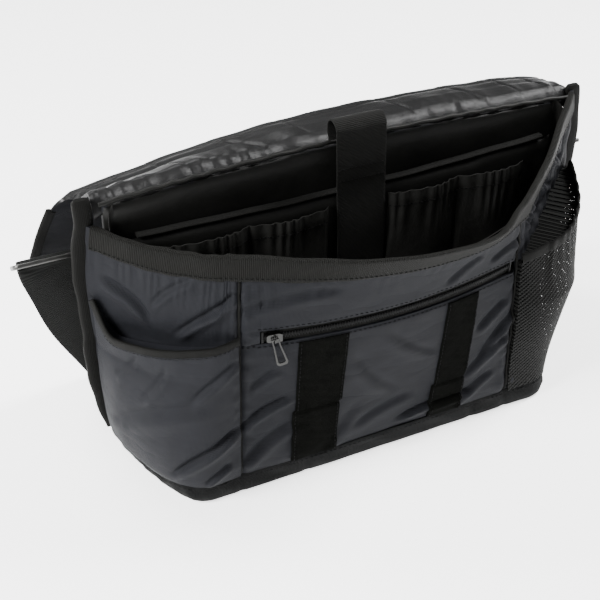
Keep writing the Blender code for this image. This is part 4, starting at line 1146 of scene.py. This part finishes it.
def root_point(u, v):
    """The strip from the back panel's seam to the crest."""
    half = 0.1990 + 0.0025 * (u > 0) + 0.0030 * np.clip(5 * v - 0.9, 0.0, 1.0)
    drooped = np.clip(2.2 * v - 0.35, 0.0, 1.0)
    x = CENTRE_X + half * u
    level = (1 - drooped) * (0.2360 - back_top(x)) + drooped * sag(u)
    return np.stack([x, 0.0900 + 0.0360 * v + 0.22 * sag(u) * v,
                     np.interp(v, ROOT_V, ROOT_Z) - level], -1)


def upper_point(u, t):
    """The whole surface over the crest: t from 0 at the seam, 1 at the flap, 2 well down it."""
    u, t = np.broadcast_arrays(np.asarray(u, float), t)
    strip = root_point(u, np.clip(t / 0.62, 0, 1) * 0.92)
    d0 = 0.0080 + sag(u) / math.cos(FLAP_LEAN)
    down = d0 + np.clip(t - 1.0, 0, None) * (0.042 - d0)
    flat = flap_point(CENTRE_X + u * (half_width(down) - 0.0040), down)
    w = np.clip((t - 0.62) / 0.38, 0, 1)[..., None]
    p0, p3 = root_point(u, np.full(u.shape, 0.92)), flat
    out = np.array([0.0, 0.0100, 0.0020])
    p1, p2 = p0 + out, p3 - FLAP_DOWN * 0.0085
    over = (1 - w) ** 3 * p0 + 3 * w * (1 - w) ** 2 * p1 + 3 * w * w * (1 - w) * p2 + w**3 * p3
    made = np.where((t < 0.62)[..., None], strip, over)
    return np.where((t > 1.0)[..., None], flat, made)


def crest_grid(t0, t1, rows, layer):
    u = np.linspace(-1, 1, 300)[None, :]
    t = np.linspace(t0, t1, rows)[:, None]
    u, t = np.broadcast_arrays(u, t)
    e = 1e-3
    du = upper_point(u, t + e) - upper_point(u, t - e * (t > e))
    dx = upper_point(np.minimum(u + e, 1), t) - upper_point(np.maximum(u - e, -1), t)
    normal = np.cross(dx, du)
    normal /= np.linalg.norm(normal, axis=-1, keepdims=True)
    a, b = u * 0.2, t * 0.036
    lump = 0.0009 * ripple(a, b, 71, 0.010) + 0.0008 * ripple(a, b * 0.5, 73, 0.022)
    pull = np.sin(u * 58 + 2.5 * np.sin(u * 13) + t * 2.0) * np.sin(u * 21 + 1.0)
    seamward = np.clip(1 - t / 0.40, 0, 1)
    lump = lump + 0.0014 * pull * seamward
    creases = np.abs(np.sin(u * 17 + 2.2 * t + 1.2 * np.sin(u * 7)))
    lump = lump - 0.0012 * bump(creases, 0.12) * bump(t - 0.35, 0.30)
    puff = 0.0022 * np.sin(np.pi * np.clip(t / 0.95, 0, 1)) ** 0.7
    quiet = np.clip((2.0 - t) / 0.5, 0, 1) * np.clip((1 - np.abs(u)) * 40, 0, 1)
    thick = FLAP_THICK / 2
    if layer == "over":
        rise = (lump + puff) * quiet + thick
    else:
        rise = -thick + 0.3 * np.minimum(lump, 0.0) * quiet
    under_strap = np.exp(-(((u * 0.2) / 0.033) ** 4)) * np.clip((0.75 - t) / 0.25, 0, 1)
    if layer == "over":
        rise = rise * (1 - under_strap) + (thick - 0.0004) * under_strap
    made = upper_point(u, t) + normal * rise[..., None]
    hem = np.clip(1 - t / 0.07, 0, 1)
    made[..., 1] -= 0.0042 * hem
    made[..., 2] -= (0.0050 + 0.0070 * np.clip((np.abs(u) - 0.94) / 0.05, 0, 1)) * hem**1.5
    return made


def crest_piece(name, t0, t1, rows, nodes):
    top, under = crest_grid(t0, t1, rows, "over"), crest_grid(t0, t1, rows, "under")
    obj = slab(name, top, under, None, (CREST, SHELL, CREST))
    if nodes:
        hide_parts(*nodes)
    declare(top)
    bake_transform(obj)


crest_piece("crest_seam_cloth", 0.0, 0.34, 30,
            ["flap_root"])
crest_piece("crest_fold_cloth", 0.34, 2.0, 90,
            [])


# Creases across the flap: middle, distance down it, slope, depth and half length.
FLAP_CREASES = [
    (-0.090, 0.058, 0.10, 0.0013, 0.110),
    (0.070, 0.074, -0.16, 0.0014, 0.120),
    (-0.020, 0.097, 0.05, 0.0011, 0.160),
    (0.100, 0.118, 0.12, 0.0012, 0.090),
    (-0.110, 0.128, -0.10, 0.0013, 0.090),
    (0.020, 0.150, 0.07, 0.0010, 0.150),
    (-0.060, 0.176, -0.06, 0.0012, 0.100),
    (0.110, 0.186, 0.14, 0.0011, 0.070),
]


def flap_relief(x, d):
    rough = 0.0016 * ripple(x * 0.6, d, 81, 0.022) + 0.0006 * ripple(x, d, 83, 0.008)
    for x0, d0, slope, depth, span in FLAP_CREASES:
        away = (d - d0) - slope * (x - x0) - 0.004 * np.sin((x - x0) * 21.0)
        fade = np.clip(1 - np.abs(x - x0) / span, 0, 1) ** 0.5
        rough = rough + depth * fade * (bump(away - 0.007, 0.006) - bump(away, 0.004))
    return rough


def flap_grid(d0, d1, rows, inset, ahead=0.0):
    u = np.linspace(-1, 1, 240)[None, :]
    d = np.linspace(d0, d1, rows)[:, None]
    u, d = np.broadcast_arrays(u, d)
    x = CENTRE_X + u * (half_width(d + ahead) - inset)
    calm = np.clip((1 - np.abs(u)) * 30, 0, 1) * np.clip((d - 0.040) / 0.02, 0, 1)
    lump = flap_relief(x, d) * calm
    lump = lump * np.clip((FLAP_END - d) / 0.02, 0, 1)
    thick = FLAP_THICK / 2
    return flap_point(x, d, lump - thick), flap_point(x, d, 0.6 * lump + thick)


def cloth_piece(name, d0, d1, rows, inset, ahead, nodes):
    outer, inner = flap_grid(d0, d1, rows, inset, ahead)
    obj = slab(name, outer, inner, None, (SHELL, CREST, SHELL))
    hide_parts(*nodes)
    declare(outer)
    return obj


BEND = flap_point(0.0, 0.124), flap_point(0.0, 0.144)
upper = cloth_piece("flap_upper_cloth", 0.042, 0.112, 60, 0.0040, 0.0, ["flap_top"])
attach(upper, "flap_upper")
lower = cloth_piece("flap_lower_cloth", 0.112, FLAP_END - 0.0060, 80, 0.0040, 0.0, ["flap_front"])
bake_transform(lower)


def flap_tape(run):
    """Folded tape in the flap's plane, round the flap's edge."""
    run = smooth(run, 6)
    points = flap_point(CENTRE_X + run[:, 0], run[:, 1])
    step = np.gradient(points, axis=0)
    wide = np.cross(FLAP_BACK, step)
    wide /= np.linalg.norm(wide, axis=1, keepdims=True)
    shape = oval(0.0040, 0.0021, 0.75, 16)
    wob = 0.0004 * np.sin(lengths(points) / 0.009)[:, None]
    points = points + FLAP_BACK * wob
    return points[:, None] + wide[:, None] * shape[None, :, :1] + FLAP_BACK * shape[None, :, 1:]


def edge_run(side, d0, d1, steps):
    d = np.linspace(d0, d1, steps)
    return [(side * (half_width(v) - 0.0036), v) for v in d]


for side, name in ((-1, "left"), (1, "right")):
    first = 0.0040 + float(sag(np.array(float(side)))) / math.cos(FLAP_LEAN)
    obj = tube(f"flap_{name}_tape", flap_tape(edge_run(side, first, 0.112, 12)), "flap_upper",
               TAPE)
    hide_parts(f"flap_binding_{name}")
run = edge_run(-1, 0.112, FLAP_END - 0.0065, 16)
run += [(v, FLAP_END - 0.0034) for v in np.linspace(-0.150, 0.150, 14)]
run += edge_run(1, 0.112, FLAP_END - 0.0065, 16)[::-1]
obj = tube("flap_end_tape", flap_tape(run), None, TAPE)
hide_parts("flap_binding_end")
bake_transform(obj)

for name, middle in (("left", -0.0580), ("right", 0.0595)):
    xs = middle + np.linspace(-0.0176, 0.0176, 14)[None, :]
    ds = np.linspace(FOLD_AT + 0.020, FLAP_END - 0.018, 40)[:, None]
    xs, ds = np.broadcast_arrays(xs, ds)
    base = 0.6 * flap_relief(xs, ds) * np.clip((FLAP_END - ds) / 0.02, 0, 1) + FLAP_THICK / 2
    outer = flap_point(xs, ds, base + 0.0014)
    obj = slab(f"{name}_hook_pile", outer, flap_point(xs, ds, base + 0.0002), "flap_lower",
               (HOOKS,))
    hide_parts(f"hook_strip_{name}")


# ---------------------------------------------------------------- anchor tabs and rings
RING_BAR, WEB, TAB_HALF = 0.0020, 0.0016, 0.0235


def anchor(name, node_name, middle, far_bar, tilt_low, foot):
    far = np.array(far_bar, float)
    gone = RING_BAR + 0.0006 + WEB / 2
    path = [np.array(foot, float)] + [np.array(p, float) for p in middle]
    ahead = far - path[-1]
    ahead[0] = 0.0
    ahead /= np.linalg.norm(ahead)
    side = np.array([0.0, ahead[2], -ahead[1]])
    path.append(far - side * gone - ahead * 0.0060)
    for k in range(9):
        a = math.pi * k / 8
        path.append(far - side * gone * math.cos(a) + ahead * gone * math.sin(a))
    path.append(far + side * (gone - 0.0006) - ahead * 0.0060)
    last, before = np.array(middle[-1], float), np.array(middle[-2], float)
    path.append(last + side * (WEB + 0.0006))
    path.append(last * 0.4 + before * 0.6 + side * (WEB + 0.0006))
    wides = []
    for p in path:
        low = min(max((far[2] - p[2]) / (far[2] - foot[2]), 0.0), 1.0)
        wides.append((math.cos(tilt_low * low), 0.0, math.sin(tilt_low * low)))
    fine, wide = smooth(path, 7), smooth(wides, 7)
    obj = tube(name, along(fine, TAB_HALF, WEB / 2, wide, 0.28, 24), "bag", TAB_WEB)
    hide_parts(node_name)
    edge_rows = []
    for off in (-0.0195, 0.0195):
        line = fine[: 7 * 4] + wide[: 7 * 4] * off + np.array([0.0, WEB / 2 + 0.0002, 0.0])
        edge_rows.append((line, np.array([0.0, 1.0, 0.0])))
    stitches(name + "_stitches", edge_rows, "bag", long=0.0024, gap=0.0014)


def steel_ring(name, node_name, body, far_bar, toward):
    far, toward = np.array(far_bar, float), np.array(toward, float)
    toward /= np.linalg.norm(toward)
    ex = np.array([1.0, 0.0, 0.0])
    en = np.cross(ex, toward)
    half_x, deep, corner = 0.025 + RING_BAR, 0.014 + 2 * RING_BAR, 0.0030
    path = []
    for cx, cy, start in ((half_x - corner, deep - corner, 0), (corner - half_x, deep - corner, 90),
                          (corner - half_x, corner, 180), (half_x - corner, corner, 270)):
        for k in range(9):
            a = math.radians(start + 90 * k / 8)
            path.append((cx + corner * math.cos(a), cy + corner * math.sin(a)))
    path = np.array(path)
    step = np.roll(path, -1, 0) - np.roll(path, 1, 0)
    step /= np.linalg.norm(step, axis=1, keepdims=True)
    out = ex * step[:, 1:] - toward * step[:, :1]
    here = far + ex * path[:, :1] + toward * path[:, 1:]
    shape = oval(RING_BAR * 0.98, RING_BAR * 0.92, 0.62, 16)
    rings = here[:, None] + out[:, None] * shape[None, :, :1] + en * shape[None, :, 1:]
    obj = tube(name, rings, body, STEEL, True)
    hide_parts(node_name)


LEFT_FAR, RIGHT_FAR = (-0.2185, 0.1290, 0.1640), (0.2300, 0.1390, 0.1530)
anchor("left_tab_web", "anchor_tab_left",
       [(-0.1870, 0.1075, 0.0850), (-0.2060, 0.1130, 0.1200), (-0.2150, 0.1205, 0.1480)],
       LEFT_FAR, math.radians(24.0), (-0.1660, 0.1046, 0.0430))
anchor("right_tab_web", "anchor_tab_right",
       [(0.2060, 0.1085, 0.0850), (0.2270, 0.1180, 0.1150), (0.2310, 0.1290, 0.1370)],
       RIGHT_FAR, math.radians(-24.0), (0.1840, 0.1046, 0.0430))
steel_ring("left_ring_bar", "ring_left", "left_ring", LEFT_FAR, (0.0, -0.835, 0.550))
steel_ring("right_ring_bar", "ring_right", "right_ring", RIGHT_FAR, (0.0, -0.835, 0.550))

# ---------------------------------------------------------------- floor, light and camera
mesh = bpy.data.meshes.new("floor")
mesh.from_pydata([(-4, -4, -0.0004), (4, -4, -0.0004), (4, 4, -0.0004), (-4, 4, -0.0004)], [],
                 [(0, 1, 2, 3)])
floor = bpy.data.objects.new("floor", mesh)
scene.collection.objects.link(floor)
paper, tree, shader = new_material("pale_floor")
shader.inputs["Base Color"].default_value = (0.93, 0.93, 0.93, 1.0)
shader.inputs["Roughness"].default_value = 0.9
shader.inputs["Emission Color"].default_value = (1.0, 1.0, 1.0, 1.0)
shader.inputs["Emission Strength"].default_value = 1.95
mesh.materials.append(paper)

world = bpy.data.worlds.new("studio")
scene.world = world
world.use_nodes = True
world.node_tree.nodes["Background"].inputs["Color"].default_value = (1.0, 1.0, 1.0, 1.0)
world.node_tree.nodes["Background"].inputs["Strength"].default_value = 0.46


def softbox(name, place, target, size, watts):
    light = bpy.data.lights.new(name, "AREA")
    light.shape = "DISK"
    light.size = size
    light.energy = watts
    obj = bpy.data.objects.new(name, light)
    obj.location = in_frame(place)
    obj.rotation_euler = (Vector(target) - Vector(place)).to_track_quat("-Z", "Y").to_euler()
    scene.collection.objects.link(obj)


softbox("key_light", (1.2, 0.1, 1.3), (0.0, 0.05, 0.12), 0.6, 52.0)
softbox("top_light", (-0.5, 1.0, 1.4), (0.0, 0.1, 0.15), 0.6, 24.0)
softbox("front_fill", (-1.5, -0.10, 1.1), (0.0, 0.05, 0.10), 0.8, 84.0)

camera = bpy.data.cameras.new("camera")
camera.sensor_width = 36.0
camera.lens = 68.55
view = bpy.data.objects.new("camera", camera)
scene.collection.objects.link(view)
eye = np.array([-0.3553, -0.5857, 0.6327])
ahead = np.array([-0.0421, 0.0660, 0.1159]) - eye
ahead /= np.linalg.norm(ahead)
level = np.cross(ahead, [0.0, 0.0, 1.0])
level /= np.linalg.norm(level)
upward = np.cross(level, ahead)
roll = math.radians(0.557)
axis_x = math.cos(roll) * level + math.sin(roll) * upward
axis_y = -math.sin(roll) * level + math.cos(roll) * upward
view.matrix_world = Matrix((
    (axis_x[0], axis_y[0], -ahead[0], eye[0]),
    (axis_x[1], axis_y[1], -ahead[1], eye[1] - BASE_MIDDLE),
    (axis_x[2], axis_y[2], -ahead[2], eye[2]),
    (0.0, 0.0, 0.0, 1.0),
))
scene.camera = view

bpy.context.view_layer.update()
